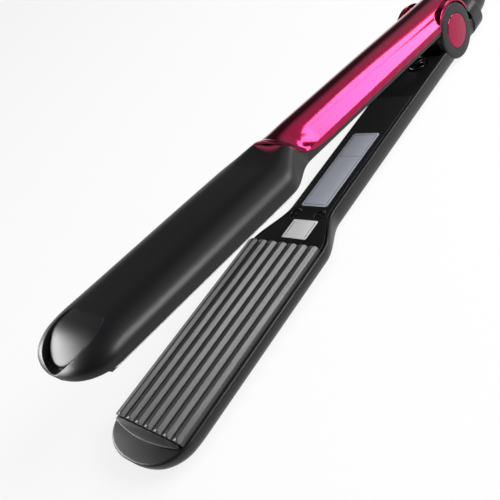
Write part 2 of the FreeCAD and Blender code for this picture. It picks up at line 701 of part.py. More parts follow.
# Plates, carriers and heaters.
def plate(name, ridges):
    """A corrugated plate; the ridges run along the arm, with bevelled ends and sloping edges."""
    body = new_body(name)
    section = new_sketch(body, "YZ_Plane", plate_start, name + "Ridges",
                         "Dimensions.neck_end + Dimensions.widening + Dimensions.plate_setback")
    peak = -dim["ridge_reach"]
    valley = peak + dim["ridge_height"]
    half_pitch = dim["ridge_pitch"] / 2
    edge = ridges * half_pitch
    points = [(i * half_pitch - edge, peak if i % 2 else valley) for i in range(2 * ridges + 1)]
    if edge < plate_half:
        points = [(-plate_half, valley + 0.9)] + points + [(plate_half, valley + 0.9)]
    points += [(plate_half, dim["plate_back"]), (-plate_half, dim["plate_back"])]
    polygon(section, points)
    pad(body, section, dim["plate_length"], "Dimensions.plate_length")
    bevel = new_sketch(body, "XZ_Plane", plate_half + 1, name + "Bevel")
    for end, way in ((plate_start, 1), (plate_end, -1)):
        polygon(bevel, [(end - way, peak - 0.6), (end + way * 1.6, peak - 0.6),
                        (end - way, valley + 0.4)])
    pocket(body, bevel, 2 * plate_half + 2)
    return body


place(plate("LowerPlate", 7), "lower_plate", LOWER)
place(plate("UpperPlate", 6), "upper_plate", UPPER)


def carrier(name):
    """Heat-resistant carrier behind the plate, with the curved ledge at its nose end."""
    body = new_body(name)
    base = new_sketch(body, "XY_Plane", dim["plate_back"], name + "Base", "Dimensions.plate_back")
    front = plate_end + 1.3
    rectangle(base, plate_start - 0.4, -plate_half, plate_end + 0.3, plate_half)
    pad(body, base, dim["carrier_thickness"], "Dimensions.carrier_thickness")
    # Ledge: a low step in front of the plate that ends in an arc.
    ledge = new_sketch(body, "XY_Plane", rim - 1.4, name + "Ledge")
    rear = plate_end + 0.3
    middle = plate_end + dim["ledge_reach"]
    wide = ledge_half()
    sag = dim["ledge_radius"] - math.sqrt(dim["ledge_radius"] ** 2 - wide ** 2)
    close_loop(ledge, [
        line((rear, -wide), (middle - sag, -wide)),
        Part.Arc(V(middle - sag, -wide, 0), V(middle, 0, 0), V(middle - sag, wide, 0)),
        line((middle - sag, wide), (rear, wide)),
        line((rear, wide), (rear, -wide)),
    ])
    pad(body, ledge, 1.4)
    neck = new_sketch(body, "XY_Plane", rim - 0.2, name + "Neck")
    rectangle(neck, rear - 0.2, -wide + 1, front, wide - 1)
    pad(body, neck, carrier_back - rim + 0.2)
    window = new_sketch(body, "XY_Plane", carrier_back + 0.5, name + "Window")
    side = dim["heater_width"] / 2 + dim["fit_gap"]
    rectangle(window, heater_start - dim["fit_gap"], -side,
              heater_start + heater_length + dim["fit_gap"], side)
    pocket(body, window, dim["carrier_thickness"] + 1)
    return body


place(carrier("LowerCarrier"), "lower_plate_carrier", LOWER)
place(carrier("UpperCarrier"), "upper_plate_carrier", UPPER)


def slab(name, node, length, width, thickness, base, placement):
    """A plain bar under the plate, centred across the arm."""
    made = doc.addObject("Part::Box", name)
    made.Length = length
    made.Width = width
    made.setExpression("Height", thickness)
    corner = V(base[0], -width / 2, base[1])
    place(made, node, placement.multiply(FreeCAD.Placement(corner, FreeCAD.Rotation())))


def heater_stack(side, placement):
    """Heater bar against the plate, with its insulating pad behind."""
    back = dim["plate_back"] + dim["heater_thickness"]
    slab(side + "Heater", side.lower() + "_heater", heater_length, dim["heater_width"],
         "Dimensions.heater_thickness", (heater_start, dim["plate_back"]), placement)
    slab(side + "Insulator", side.lower() + "_insulator", heater_length + 4,
         dim["heater_width"] + 2, "Dimensions.pad_thickness", (heater_start - 2, back), placement)


heater_stack("Lower", LOWER)
heater_stack("Upper", UPPER)

# Hinge.
pin_half = dim["hub_half"] - dim["cap_depth"] - 0.1
pin = doc.addObject("Part::Cylinder", "Pin")
pin.setExpression("Radius", "Dimensions.pin_radius")
pin.Height = 2 * pin_half
place(pin, "hinge_pin", LOWER.multiply(
    FreeCAD.Placement(V(0, -pin_half, 0), FreeCAD.Rotation(V(1, 0, 0), -90))))


def ring(name, node, inner, outer, y0, y1, placement):
    body = new_body(name)
    sketch = new_sketch(body, "XZ_Plane", -y1, name + "Ring")
    circle(sketch, 0, 0, outer)
    circle(sketch, 0, 0, inner)
    pad(body, sketch, y1 - y0)
    place(body, node, placement)


knuckle_half = ear_inside - dim["washer_thickness"] - dim["running_gap"]
ring("Bush", "hinge_bush", dim["pin_radius"] + dim["running_gap"], dim["bush_radius"],
     -knuckle_half, knuckle_half, UPPER)
for label, side in (("near", 1), ("far", -1)):
    y0, y1 = sorted((side * (knuckle_half + dim["running_gap"]), side * ear_inside))
    ring("Washer" + label, "hinge_washer_" + label, dim["pin_radius"] + dim["running_gap"], 7.5,
         y0, y1, LOWER)


def hinge_cap(name, node, side):
    """A coloured disc with a bevelled brim, seated in the ear."""
    body = new_body(name)
    profile = new_sketch(body, "XY_Plane", 0, name + "Profile")
    back = dim["hub_half"] - dim["cap_depth"]
    face = dim["hub_half"] + dim["cap_proud"]
    r = dim["cap_radius"]
    bevel = 0.5
    polygon(profile, [(0, back), (r, back), (r, face - bevel), (r - bevel, face), (0, face)])
    revolve(body, profile, "V_Axis")
    turn = FreeCAD.Placement(V(), FreeCAD.Rotation(V(0, 0, 1), 0 if side > 0 else 180))
    place(body, node, LOWER.multiply(turn))


# The lower arm's frame is turned over, so its +Y side is the far one.
hinge_cap("CapFar", "hinge_cap_far", 1)
hinge_cap("CapNear", "hinge_cap_near", -1)


# Opening spring.
def helix_point(t, radius, length, turns):
    angle = 2 * math.pi * turns * t
    return V(radius * math.cos(angle), radius * math.sin(angle), length * t)


def helix_tangent(t, radius, length, turns):
    angle = 2 * math.pi * turns * t
    speed = 2 * math.pi * turns * radius
    way = V(-speed * math.sin(angle), speed * math.cos(angle), length)
    return way.normalize()


def make_spring():
    place_x = dim["spring_place"]
    angle = math.radians(dim["open_angle"])
    wire = dim["spring_wire"]
    tilt = (dim["spring_radius"] + wire / 2) * math.sin(angle)
    upper_seat = place_x * math.sin(angle) + dim["spring_seat"] * math.cos(angle) - tilt
    length = upper_seat + dim["spring_seat"] - wire - dim["spring_slack"]
    turns = dim["spring_turns"]
    radius = dim["spring_radius"]
    steps = int(round(turns * 4))
    edges = []
    for i in range(steps):
        t0 = i / steps
        t1 = (i + 1) / steps
        edges += biarc(helix_point(t0, radius, length, turns), helix_tangent(t0, radius, length, turns),
                       helix_point(t1, radius, length, turns), helix_tangent(t1, radius, length, turns))
    path = Part.Wire([edge.toShape() for edge in edges])
    start = helix_point(0, radius, length, turns)
    way = helix_tangent(0, radius, length, turns)
    # The wire is drawn with eight flats.
    flats = []
    across = way.cross(V(0, 0, 1)).normalize()
    up = across.cross(way)
    for i in range(9):
        turned = math.radians(45 * i + 22.5)
        flats.append(start + (across * math.cos(turned) + up * math.sin(turned)) * (wire / 2))
    tube = path.makePipeShell([Part.makePolygon(flats)], True, False)
    print("spring: gap between turns %.2f mm" % (length / turns - wire))
    made = doc.addObject("Part::Feature", "Spring")
    made.Shape = tube
    base = V(place_x, 0, -dim["spring_seat"] + wire / 2 + 0.1)
    row = FreeCAD.Placement(hinge, FreeCAD.Rotation(V(0, 0, 1), 180))
    return place(made, "opening_spring", row.multiply(FreeCAD.Placement(base, FreeCAD.Rotation())))


make_spring()


# Swivel collar for the cord.
def make_collar():
    body = new_body("Collar")
    profile = new_sketch(body, "XY_Plane", 0, "CollarProfile")
    root = -(dim["tail_end"] + dim["collar_gap"])
    mouth = root - dim["collar_length"]
    flange = -dim["tail_front"] - 1.7
    r_neck = dim["swivel_neck"]
    r_bore = dim["cord_bore"]
    polygon(profile, [
        (mouth, r_bore), (mouth, dim["collar_tip"] - 0.6), (mouth + 0.6, dim["collar_tip"]),
        (root - 9, dim["collar_radius"]), (root - 0.5, dim["collar_radius"]),
        (root, dim["collar_radius"] - 0.5), (root, r_neck), (flange - 0.2, r_neck),
        (flange - 0.2, r_neck + 1.1), (flange + 1.0, r_neck + 1.1),
        (flange + 1.0, dim["wire_bore"]), (root, dim["wire_bore"]), (root, r_bore),
    ])
    revolve(body, profile, "H_Axis")
    centre = (dim["barrel_depth"] - 0.4 - dim["tail_top"]) / 2
    place(body, "cord_swivel", LOWER.multiply(FreeCAD.Placement(V(0, 0, centre), FreeCAD.Rotation())))


make_collar()


# Switch, lens and board.
def make_slider():
    body = new_body("Slider")
    base = new_sketch(body, "XY_Plane", rim - 0.5, "SliderBlock")
    half = dim["slider_length"] / 2
    x = dim["slider_place"] - dim["slider_travel"] / 2
    rectangle(base, x - half, -dim["slider_width"] / 2, x + half, dim["slider_width"] / 2)
    pad(body, base, dim["inner_thickness"] + 1.0)
    grip = new_sketch(body, "XZ_Plane", -dim["slider_width"], "SliderGrip")
    for i in range(4):
        groove = x - 2.4 + 1.6 * i
        polygon(grip, [(groove - 0.4, rim - 0.6), (groove + 0.4, rim - 0.6), (groove, rim - 0.05)])
    cut = feature(body, "Pocket", grip, 2 * dim["slider_width"])
    cut.Midplane = True
    foot = new_sketch(body, "XY_Plane", inner_back + 0.3, "SliderFoot")
    rectangle(foot, x - half - 1, -dim["slider_width"] / 2 - 1, x + half + 1, dim["slider_width"] / 2 + 1)
    pad(body, foot, 1.2)
    place(body, "switch_slider", UPPER)


make_slider()


def make_switch_body():
    """Switch case on two rails, between which the slider's foot runs."""
    body = new_body("SwitchCase")
    start = dim["slider_place"] - 8.5
    case = new_sketch(body, "XY_Plane", inner_back + 1.8, "SwitchTop")
    rectangle(case, start, -4.5, start + 17, 4.5)
    pad(body, case, 4.0)
    rails = new_sketch(body, "XY_Plane", inner_back + 0.05, "SwitchRails")
    for side in (-4.5, 3.6):
        rectangle(rails, start, side, start + 17, side + 0.9)
    pad(body, rails, 2.0)
    place(body, "switch_body", UPPER)


make_switch_body()

lens = doc.addObject("Part::Cylinder", "Lens")
lens.setExpression("Radius", "Dimensions.lens_radius")
lens.Height = dim["inner_thickness"] + 1.0
place(lens, "indicator_lens", UPPER.multiply(
    FreeCAD.Placement(V(dim["lens_place"], 0, rim - 0.1), FreeCAD.Rotation())))


def make_board():
    """Circuit board in the lower handle with its larger parts."""
    body = new_body("Board")
    start = dim["screw_rear"] + dim["post_radius"] + 0.2
    length = dim["screw_place"] - dim["post_radius"] - dim["board_margin"] - start
    level = inner_back + 0.3
    base = new_sketch(body, "XY_Plane", level, "BoardPlan")
    rectangle(base, start, -dim["board_width"] / 2, start + length, dim["board_width"] / 2)
    pad(body, base, 1.4)
    for i, (x, y, lx, ly, lz) in enumerate((
            (8, -5, 12, 9, 3.0), (26, -3, 7, 8, 2.6), (38, -6, 9, 5, 3.0), (38, 1, 9, 5, 2.2))):
        top = new_sketch(body, "XY_Plane", level + 1.4, "BoardPart%d" % i)
        rectangle(top, start + x, y, start + x + lx, y + ly)
        pad(body, top, lz)
    place(body, "circuit_board", LOWER)


make_board()

# Checks and export.
doc.recompute()
for item in doc.Objects:
    if "Invalid" in item.State or "Error" in item.State:
        raise RuntimeError("%s failed: %s" % (item.Name, item.State))
for piece in parts:
    shape = piece.Shape
    if shape.isNull() or not shape.isValid() or not shape.Solids:
        raise RuntimeError("%s has no valid solid" % piece.Label)
    print("%-22s solids %d volume %.0f" % (piece.Label, len(shape.Solids), shape.Volume))
    shape.exportStep("parts/%s.step" % piece.Label)
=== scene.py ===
import math

import bmesh
import bpy
from mathutils import Matrix, Vector
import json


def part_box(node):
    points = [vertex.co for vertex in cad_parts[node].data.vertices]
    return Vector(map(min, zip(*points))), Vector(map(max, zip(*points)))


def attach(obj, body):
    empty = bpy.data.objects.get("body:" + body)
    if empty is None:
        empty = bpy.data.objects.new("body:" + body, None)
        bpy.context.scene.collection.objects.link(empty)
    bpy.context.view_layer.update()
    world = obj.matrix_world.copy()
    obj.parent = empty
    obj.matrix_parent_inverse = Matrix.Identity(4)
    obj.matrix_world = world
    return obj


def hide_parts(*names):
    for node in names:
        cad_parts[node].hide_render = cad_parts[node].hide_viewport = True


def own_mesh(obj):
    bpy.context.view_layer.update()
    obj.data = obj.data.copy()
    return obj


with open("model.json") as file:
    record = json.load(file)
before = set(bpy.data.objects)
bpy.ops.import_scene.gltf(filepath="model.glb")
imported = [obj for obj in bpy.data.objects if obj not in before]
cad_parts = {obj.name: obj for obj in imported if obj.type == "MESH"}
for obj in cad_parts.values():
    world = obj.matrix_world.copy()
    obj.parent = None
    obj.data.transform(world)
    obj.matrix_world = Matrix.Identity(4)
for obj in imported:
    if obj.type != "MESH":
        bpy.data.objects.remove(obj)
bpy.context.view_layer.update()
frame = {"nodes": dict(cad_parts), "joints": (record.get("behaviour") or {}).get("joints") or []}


# Lower shell.
# The black half of the body, moulded in one piece of ABS: a handle, an S-shaped widening and the
# barrel that carries a plate. Its solid nose has a scoop where a finger steadies the hot tool.
hinge = next(joint for joint in frame["joints"] if joint["name"] == "arm_hinge")
PIVOT = Matrix.Translation(hinge["pos_m"])
OPENING = -math.radians(hinge["range_deg"][0])
FROM_MM = Matrix.Scale(0.001, 4)
# Each arm is drawn in mm from the hinge axis: X to the nose, Z away from the other arm.
LOWER = PIVOT @ Matrix.Rotation(math.pi, 4, "Y") @ FROM_MM
UPPER = PIVOT @ Matrix.Rotation(OPENING, 4, "Y") @ Matrix.Rotation(math.pi, 4, "Z") @ FROM_MM

RIM = 3.1
NOSE = 237.2
NECK_END, FLARE_END, BARREL_START = 115.0, 137.0, 151.0
PLATE_START, PLATE_END = 137.5, 225.5
HANDLE_HALF, BARREL_HALF = 11.8, 20.2
HANDLE_DEPTH, BARREL_DEPTH = 13.1, 13.2
NOSE_SWEEP, NOSE_FALL = 15.4, 21.2
WALL, BARREL_WALL = 1.8, 0.8
HOLLOW_END = 206.4
RIM_ROUNDING = 1.0
# Reach of the cutters that pass right through an arm.
CLEAR = 30.0


def fade(x, start, end):
    t = min(max((x - start) / (end - start), 0.0), 1.0)
    return t * t * (3 - 2 * t)


def nose_round(x, length, power):
    u = min(max((x - NOSE) / length + 1, 0.0), 1.0)
    return (1 - u ** power) ** (1 / power)


def arm_half(x):
    """Half the width of an arm in plan."""
    width = HANDLE_HALF + (BARREL_HALF - HANDLE_HALF) * fade(x, NECK_END, FLARE_END)
    return width * nose_round(x, NOSE_SWEEP, 2.3)


def lower_depth(x):
    depth = HANDLE_DEPTH + (BARREL_DEPTH - HANDLE_DEPTH) * fade(x, NECK_END, FLARE_END)
    return RIM + (depth - RIM) * nose_round(x, NOSE_FALL, 2.0)


def bezier(points, t):
    """Point at t on the cubic curve with these four control points."""
    weights = [(1 - t) ** 3, 3 * t * (1 - t) ** 2, 3 * t * t * (1 - t), t ** 3]
    return tuple(sum(w * point[k] for w, point in zip(weights, points)) for k in (0, 1))


def shoulder(width, depth, side, t):
    """Point on the soft corner between an arm's side and its outer land."""
    # The corner of the handle is fuller than that of the barrel.
    narrow = 1 - fade(width, 12.5, 20)
    land, pull = (0.36 + 0.10 * narrow) * width, 0.6 + 0.05 * narrow
    return bezier([(width, side), (width, side + pull * (depth - side)),
                   (land + pull * (width - land), depth), (land, depth)], t)


def flank(depth, foot, soft):
    """Rounding that a section has room for at its foot, and the top of its straight side."""
    soft = min(soft, 0.6 * (depth - foot))
    return soft, max(foot + 0.16 * (depth - foot), foot + soft + 0.02)


def arm_ring(x, width, depth, foot, soft):
    """Closed D-shaped section at x; its rim is rounded square to the outline in plan."""
    soft, side = flank(depth, foot, soft)
    slope = (arm_half(x + 0.01) - arm_half(x - 0.01)) / 0.02
    turn = math.hypot(slope, 1)
    half = []
    for i in range(5 if soft > 0 else 1):
        angle = i * math.pi / 8
        inset = soft * (1 - math.sin(angle))
        half.append((x + inset * slope / turn, width - inset / turn,
                     foot + soft * (1 - math.cos(angle))))
    for i in range(17):
        half.append((x, *shoulder(width, depth, side, i / 16)))
    half.append((x, 0.15 * width, depth))
    middle = [(x, 0, depth)]
    return half + middle + [(px, -py, pz) for px, py, pz in reversed(half)]


def piece_of(name, verts, faces):
    """Links a new closed mesh whose faces point outwards."""
    shape = bmesh.new()
    for vert in verts:
        shape.verts.new(vert)
    shape.verts.ensure_lookup_table()
    for face in faces:
        corners = []
        for index in face:
            if shape.verts[index] not in corners:
                corners.append(shape.verts[index])
        if len(corners) > 2:
            shape.faces.new(corners)
    bmesh.ops.remove_doubles(shape, verts=shape.verts, dist=1e-4)
    bmesh.ops.recalc_face_normals(shape, faces=shape.faces)
    mesh = bpy.data.meshes.new(name)
    shape.to_mesh(mesh)
    shape.free()
    piece = bpy.data.objects.new(name, mesh)
    bpy.context.scene.collection.objects.link(piece)
    return piece


def walls(rows, size):
    """Faces between neighbouring closed rows of points."""
    faces = []
    for i in range(rows - 1):
        for j in range(size):
            k = (j + 1) % size
            faces.append((i * size + j, i * size + k, (i + 1) * size + k, (i + 1) * size + j))
    return faces


def capped(name, rows):
    """Skins closed rows of points; one flat face closes each end."""
    size = len(rows[0])
    verts = [vert for row in rows for vert in row]
    ends = [tuple(range(size)), tuple(range(len(verts) - size, len(verts)))]
    return piece_of(name, verts, ends + walls(len(rows), size))


def loft(name, rings):
    """Skins closed, left-right symmetric rings, with both ends closed straight across."""
    size = len(rings[0])
    verts = [vert for ring in rings for vert in ring]
    faces = walls(len(rings), size)
    for base in (0, (len(rings) - 1) * size):
        for j in range(size // 2):
            faces.append((base + j, base + j + 1, base + size - 2 - j, base + size - 1 - j))
    return piece_of(name, verts, faces)


def block(name, low, high):
    corners = [(x, y, z) for x in (low[0], high[0]) for y in (low[1], high[1])
               for z in (low[2], high[2])]
    return piece_of(name, corners, [(0, 1, 3, 2), (4, 5, 7, 6), (0, 1, 5, 4), (2, 3, 7, 6),
                                    (0, 2, 6, 4), (1, 3, 7, 5)])


def turned(name, profile, axis, centre=(0, 0, 0), steps=72):
    """Turns a closed profile of (place along the axis, radius) about X, Y or Z."""
    verts = []
    for along, radius in profile:
        for i in range(steps):
            a, b = (radius * math.cos(2 * math.pi * i / steps),
                    radius * math.sin(2 * math.pi * i / steps))
            spot = {"X": (along, a, b), "Y": (a, along, b), "Z": (a, b, along)}[axis]
            verts.append(tuple(p + q for p, q in zip(spot, centre)))
    faces = []
    for i in range(len(profile)):
        j = (i + 1) % len(profile)
        for k in range(steps):
            m = (k + 1) % steps
            faces.append((i * steps + k, i * steps + m, j * steps + m, j * steps + k))
    return piece_of(name, verts, faces)


def rod(name, start, end, radius, axis, centre=(0, 0, 0), steps=72):
    """A plain cylinder from start to end along an axis."""
    profile = [(start, 0.0), (start, radius), (end, radius), (end, 0.0)]
    return turned(name, profile, axis, centre, steps)


def arc(along, radius, size, degrees):
    """Rounded corner of a profile; 0 degrees points away from the axis and 90 along it."""
    return [(along + size * math.sin(math.radians(angle)),
             radius + size * math.cos(math.radians(angle))) for angle in degrees]


def upright(piece, x):
    """Stands a piece that was turned about X at a place along the arm, pointing outwards."""
    piece.data.transform(Matrix.Translation((x, 0, 0)) @ Matrix.Rotation(-math.pi / 2, 4, "Y"))
    return piece


def rounded_rectangle(low, high, corner, steps):
    """Outline of a rectangle between two opposite corners, with its corners rounded."""
    outline = []
    for a, b, start in ((high[0] - corner, low[1] + corner, -90),
                        (high[0] - corner, high[1] - corner, 0),
                        (low[0] + corner, high[1] - corner, 90),
                        (low[0] + corner, low[1] + corner, 180)):
        for i in range(steps + 1):
            angle = math.radians(start + 90 * i / steps)
            outline.append((a + corner * math.cos(angle), b + corner * math.sin(angle)))
    return outline


def plain(piece):
    """Turns a piece with its modifiers into a plain mesh."""
    bpy.context.view_layer.update()
    ready = piece.evaluated_get(bpy.context.evaluated_depsgraph_get())
    mesh = bpy.data.meshes.new_from_object(ready)
    piece.modifiers.clear()
    piece.data = mesh
    return piece


def carve(piece, tool, operation="DIFFERENCE"):
    modifier = piece.modifiers.new("carve", "BOOLEAN")
    modifier.operation = operation
    modifier.solver = "EXACT"
    modifier.object = tool
    plain(piece)
    bpy.data.objects.remove(tool)
    return piece


def joined(*pieces):
    """One object from several closed shells."""
    shape = bmesh.new()
    for piece in pieces:
        shape.from_mesh(piece.data)
    shape.to_mesh(pieces[0].data)
    shape.free()
    for piece in pieces[1:]:
        bpy.data.objects.remove(piece)
    return pieces[0]


def settle(piece, place, body, material, slot, *nodes, crease=32):
    """Puts a finished piece in its arm, gives it its finish, hangs it under its body and hides the
    CAD nodes it stands in for.
    """
    piece.data.transform(place)
    piece.data.shade_smooth()
    piece.data.set_sharp_from_angle(angle=math.radians(crease))
    if material:
        piece.data.materials.clear()
        piece.data.materials.append(material)
    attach(piece, body)
    if nodes:
        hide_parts(*nodes)


def spaced(start, end, step):
    """Even places from start up to, but not at, the end, about a step apart."""
    count = max(1, round((end - start) / step))
    return [start + (end - start) * i / count for i in range(count)]


def arm_skin(name, depth_at, rear):
    """Solid outer form of an arm."""
    fall = NOSE - NOSE_FALL
    places = (spaced(rear, NECK_END, 10) + spaced(NECK_END, BARREL_START, 1)
              + spaced(BARREL_START, fall, 4))
    # The round of the nose is followed until it is nearly upright, where a small flat closes it.
    places += [fall + NOSE_FALL * math.sin(math.radians(83.2) * i / 44) for i in range(45)]
    return loft(name, [arm_ring(x, arm_half(x), depth_at(x), RIM, RIM_ROUNDING) for x in places])


def arm_hollow(depth_at, rear):
    """The space inside an arm, open at the rim."""
    places = spaced(rear, NECK_END, 20) + spaced(NECK_END, BARREL_START, 2) + [HOLLOW_END]
    rings = []
    for x in places:
        wall = WALL + (BARREL_WALL - WALL) * fade(x, NECK_END, FLARE_END)
        rings.append(arm_ring(x, arm_half(x) - wall, depth_at(x) - WALL, RIM - 2, 0))
    return loft("hollow", rings)


def smaller(a, b, soft):
    """Lesser of two heights, with a soft change from one to the other."""
    h = min(max(0.5 + 0.5 * (b - a) / soft, 0.0), 1.0)
    return b + (a - b) * h - soft * h * (1 - h)


def skin_height(x, y, depth_at):
    """Height of an arm's outer surface over a point of its plan."""
    width, depth = arm_half(x), depth_at(x)
    if abs(y) >= width:
        return RIM
    side = flank(depth, RIM, RIM_ROUNDING)[1]
    low, high = 0.0, 1.0
    for _ in range(30):
        middle = (low + high) / 2
        if shoulder(width, depth, side, middle)[0] > abs(y):
            low = middle
        else:
            high = middle
    return shoulder(width, depth, side, low)[1]


SCOOP_RADIUS, SCOOP_CENTRE, SCOOP_FLOOR = 12.1, 224.8, 4.4
TONGUE_RADIUS, TONGUE_CENTRE, TONGUE_RIM, TONGUE_FOOT = 11.3, 223.0, 0.5, 2.0
BAY_HALF, LEDGE_HALF, BAY_DEPTH, BAY_ROOF = 19.05, 15.2, 6.15, 7.0


def tongue_height(x, y, depth_at):
    """The crowned rest for a finger: it leaves the skin and dives towards the nose."""
    # A parabola dives from 218 on, another rises behind 221, and a third crowns it across.
    dive = depth_at(216) - 0.0255 * max(x - 218, 0) ** 2 + 0.05 * max(221 - x, 0) ** 2
    return smaller(skin_height(x, y, depth_at) + 0.03, dive - 0.006 * y * y, 1.0)


def scoop_cutter(depth_at):
    """A round well less the tongue that rises in it, so that a groove runs round the tongue."""
    turns = 144
    well = rod("scoop", SCOOP_FLOOR, CLEAR, SCOOP_RADIUS, "Z", (SCOOP_CENTRE, 0, 0), turns)
    reaches = [TONGUE_RADIUS * i / 24 for i in range(1, 23)]
    reaches += [TONGUE_RADIUS - TONGUE_RIM * (1 - math.sin(math.pi * i / 12)) for i in range(1, 7)]
    verts = [(TONGUE_CENTRE, 0.0, tongue_height(TONGUE_CENTRE, 0.0, depth_at))]
    faces = []
    for reach in reaches:
        over = max(reach - TONGUE_RADIUS + TONGUE_RIM, 0)
        drop = TONGUE_RIM - math.sqrt(max(TONGUE_RIM ** 2 - over ** 2, 0))
        for k in range(turns):
            angle = 2 * math.pi * (k + 0.5) / turns
            # Behind the well's widest place the tongue closes the groove.
            closed = fade(-math.cos(angle), -0.5, 0)
            wide = reach * (1 + 0.16 * closed)
            x, y = TONGUE_CENTRE + wide * math.cos(angle), wide * math.sin(angle)
            verts.append((x, y, tongue_height(x, y, depth_at) - drop * (1 - closed)))
    verts += [(x, y, TONGUE_FOOT) for x, y, z in verts[-turns:]]
    for k in range(turns):
        faces.append((0, 1 + k, 1 + (k + 1) % turns))
        for row in range(len(reaches)):
            low = 1 + row * turns
            faces.append((low + k, low + turns + k, low + turns + (k + 1) % turns,
                          low + (k + 1) % turns))
    faces.append(tuple(range(len(verts) - turns, len(verts))))
    carve(well, piece_of("tongue", verts, faces))
    # Over the plate's bay the groove is shallower.
    return carve(well, block("bay_roof", (200, -20, TONGUE_FOOT), (228, 20, BAY_ROOF)))


def nose_bays(piece):
    """Shallow recess at the nose for the front of the plate and its carrier."""
    carve(piece, block("bay", (HOLLOW_END - 2, -BAY_HALF, 0),
                       (PLATE_END + 0.45, BAY_HALF, BAY_DEPTH)))
    carve(piece, block("slot", (PLATE_END, -LEDGE_HALF, 0),
                       (PLATE_END + 1.5, LEDGE_HALF, BAY_DEPTH)))


def linear(code):
    """Hex code of an sRGB colour as linear values."""
    parts = [int(code[i:i + 2], 16) / 255 for i in (1, 3, 5)]
    return (*[c / 12.92 if c <= 0.04045 else ((c + 0.055) / 1.055) ** 2.4 for c in parts], 1)


def add(tree, kind, sockets=None, **settings):
    """Adds a node; a socket takes a value or the output of another node."""
    made = tree.nodes.new(kind)
    for key, value in settings.items():
        setattr(made, key, value)
    for key, value in (sockets or {}).items():
        if isinstance(value, bpy.types.NodeSocket):
            tree.links.new(value, made.inputs[key])
        else:
            made.inputs[key].default_value = value
    return made


def surface_of(name, colour, roughness, **constants):
    """A new material and its shader, with the constants on the shader's own sockets."""
    material = bpy.data.materials.new(name)
    material.use_nodes = True
    shader = material.node_tree.nodes["Principled BSDF"]
    shader.inputs["Base Color"].default_value = linear(colour)
    shader.inputs["Roughness"].default_value = roughness
    for key, value in constants.items():
        shader.inputs[key.replace("_", " ").title().replace("Ior", "IOR")].default_value = value
    return material, material.node_tree, shader


def noise(tree, scale, detail, stretch=None):
    """Noise in the piece's own space; a stretch below 1 draws it out along that axis."""
    place = add(tree, "ShaderNodeTexCoord").outputs["Object"]
    if stretch:
        drawn = add(tree, "ShaderNodeMapping", {"Vector": place, "Scale": stretch})
        place = drawn.outputs["Vector"]
    return add(tree, "ShaderNodeTexNoise", {"Vector": place, "Scale": scale,
                                            "Detail": detail}).outputs["Fac"]


def dress(tree, shader, grain, tones, rough, height, bump, depth, edge=0.0):
    """Colour and gloss from the noise in grain, relief from the one in height.

    The depth of the relief and edge, the radius of soft corners, are in mm.
    """
    tint = add(tree, "ShaderNodeMix", {"Factor": grain, 6: linear(tones[0]),
                                       7: linear(tones[1])}, data_type="RGBA")
    gloss = add(tree, "ShaderNodeMapRange", {"Value": grain, "From Min": 0.3, "From Max": 0.7,
                                             "To Min": rough[0], "To Max": rough[1]})
    relief = add(tree, "ShaderNodeBump", {"Height": height, "Strength": bump,
                                          "Distance": depth * 0.001})
    if edge:
        corner = add(tree, "ShaderNodeBevel", {"Radius": edge * 0.001}, samples=6)
        tree.links.new(corner.outputs["Normal"], relief.inputs["Normal"])
    tree.links.new(tint.outputs[2], shader.inputs["Base Color"])
    tree.links.new(gloss.outputs["Result"], shader.inputs["Roughness"])
    tree.links.new(relief.outputs["Normal"], shader.inputs["Normal"])


def mottled(tree, shader, scale, first, second, rough_low, rough_high, bump, edge=0.0):
    """Colour, gloss and relief from one noise, with a relief 0.1 mm deep."""
    grain = noise(tree, scale, 4.0)
    dress(tree, shader, grain, (first, second), (rough_low, rough_high), grain, bump, 0.1, edge)


# Black ABS from a spark-eroded mould: a satin skin that gives soft grey highlights. The real
# grain is near 0.1 mm; it is drawn at about 0.5 mm, the finest that shows.
black_abs, tree, shader = surface_of("satin_abs", "#121214", 0.4, specular_ior_level=0.35)
mottled(tree, shader, 2000, "#101012", "#161618", 0.32, 0.42, 0.08, edge=0.45)


EAR_INNER, EAR_OUTER, EAR_RADIUS, EAR_EDGE = 9.4, 12.25, 12.7, 0.9
PIN_RADIUS, CAP_RADIUS, CAP_DEPTH = 2.5, 7.9, 1.1


def ear(side):
    """Round cheek of the fork, with a seat for its hinge cap."""
    seat, seat_radius = EAR_OUTER - CAP_DEPTH, CAP_RADIUS + 0.15
    profile = [(EAR_INNER, PIN_RADIUS), (EAR_INNER, EAR_RADIUS)]
    profile += arc(EAR_OUTER - EAR_EDGE, EAR_RADIUS - EAR_EDGE, EAR_EDGE, (0, 22.5, 45, 67.5, 90))
    profile += [(EAR_OUTER, seat_radius), (seat, seat_radius), (seat, PIN_RADIUS)]
    return turned("ear", [(side * y, r) for y, r in profile], "Y")


TAIL_REAR, TAIL_FRONT, TAIL_TOP, TAIL_BOTTOM, TAIL_CORNER = -24.0, -14.9, -2.9, 12.8, 6.0
COLLAR_Z = (TAIL_TOP + TAIL_BOTTOM) / 2


def tail_block():
    """The block behind the ears, its rear edge rounded by 1 mm."""
    rings = []
    for x, inset in ((TAIL_REAR, 1.0), (TAIL_REAR + 0.1, 0.55), (TAIL_REAR + 0.3, 0.28),
                     (TAIL_REAR + 0.6, 0.08), (TAIL_REAR + 1.0, 0.0), (TAIL_FRONT, 0.0)):
        outline = rounded_rectangle((inset - EAR_OUTER, TAIL_TOP + inset),
                                    (EAR_OUTER - inset, TAIL_BOTTOM - inset),
                                    TAIL_CORNER - inset, 10)
        rings.append([(x, y, z) for y, z in outline])
    return loft("tail", rings)


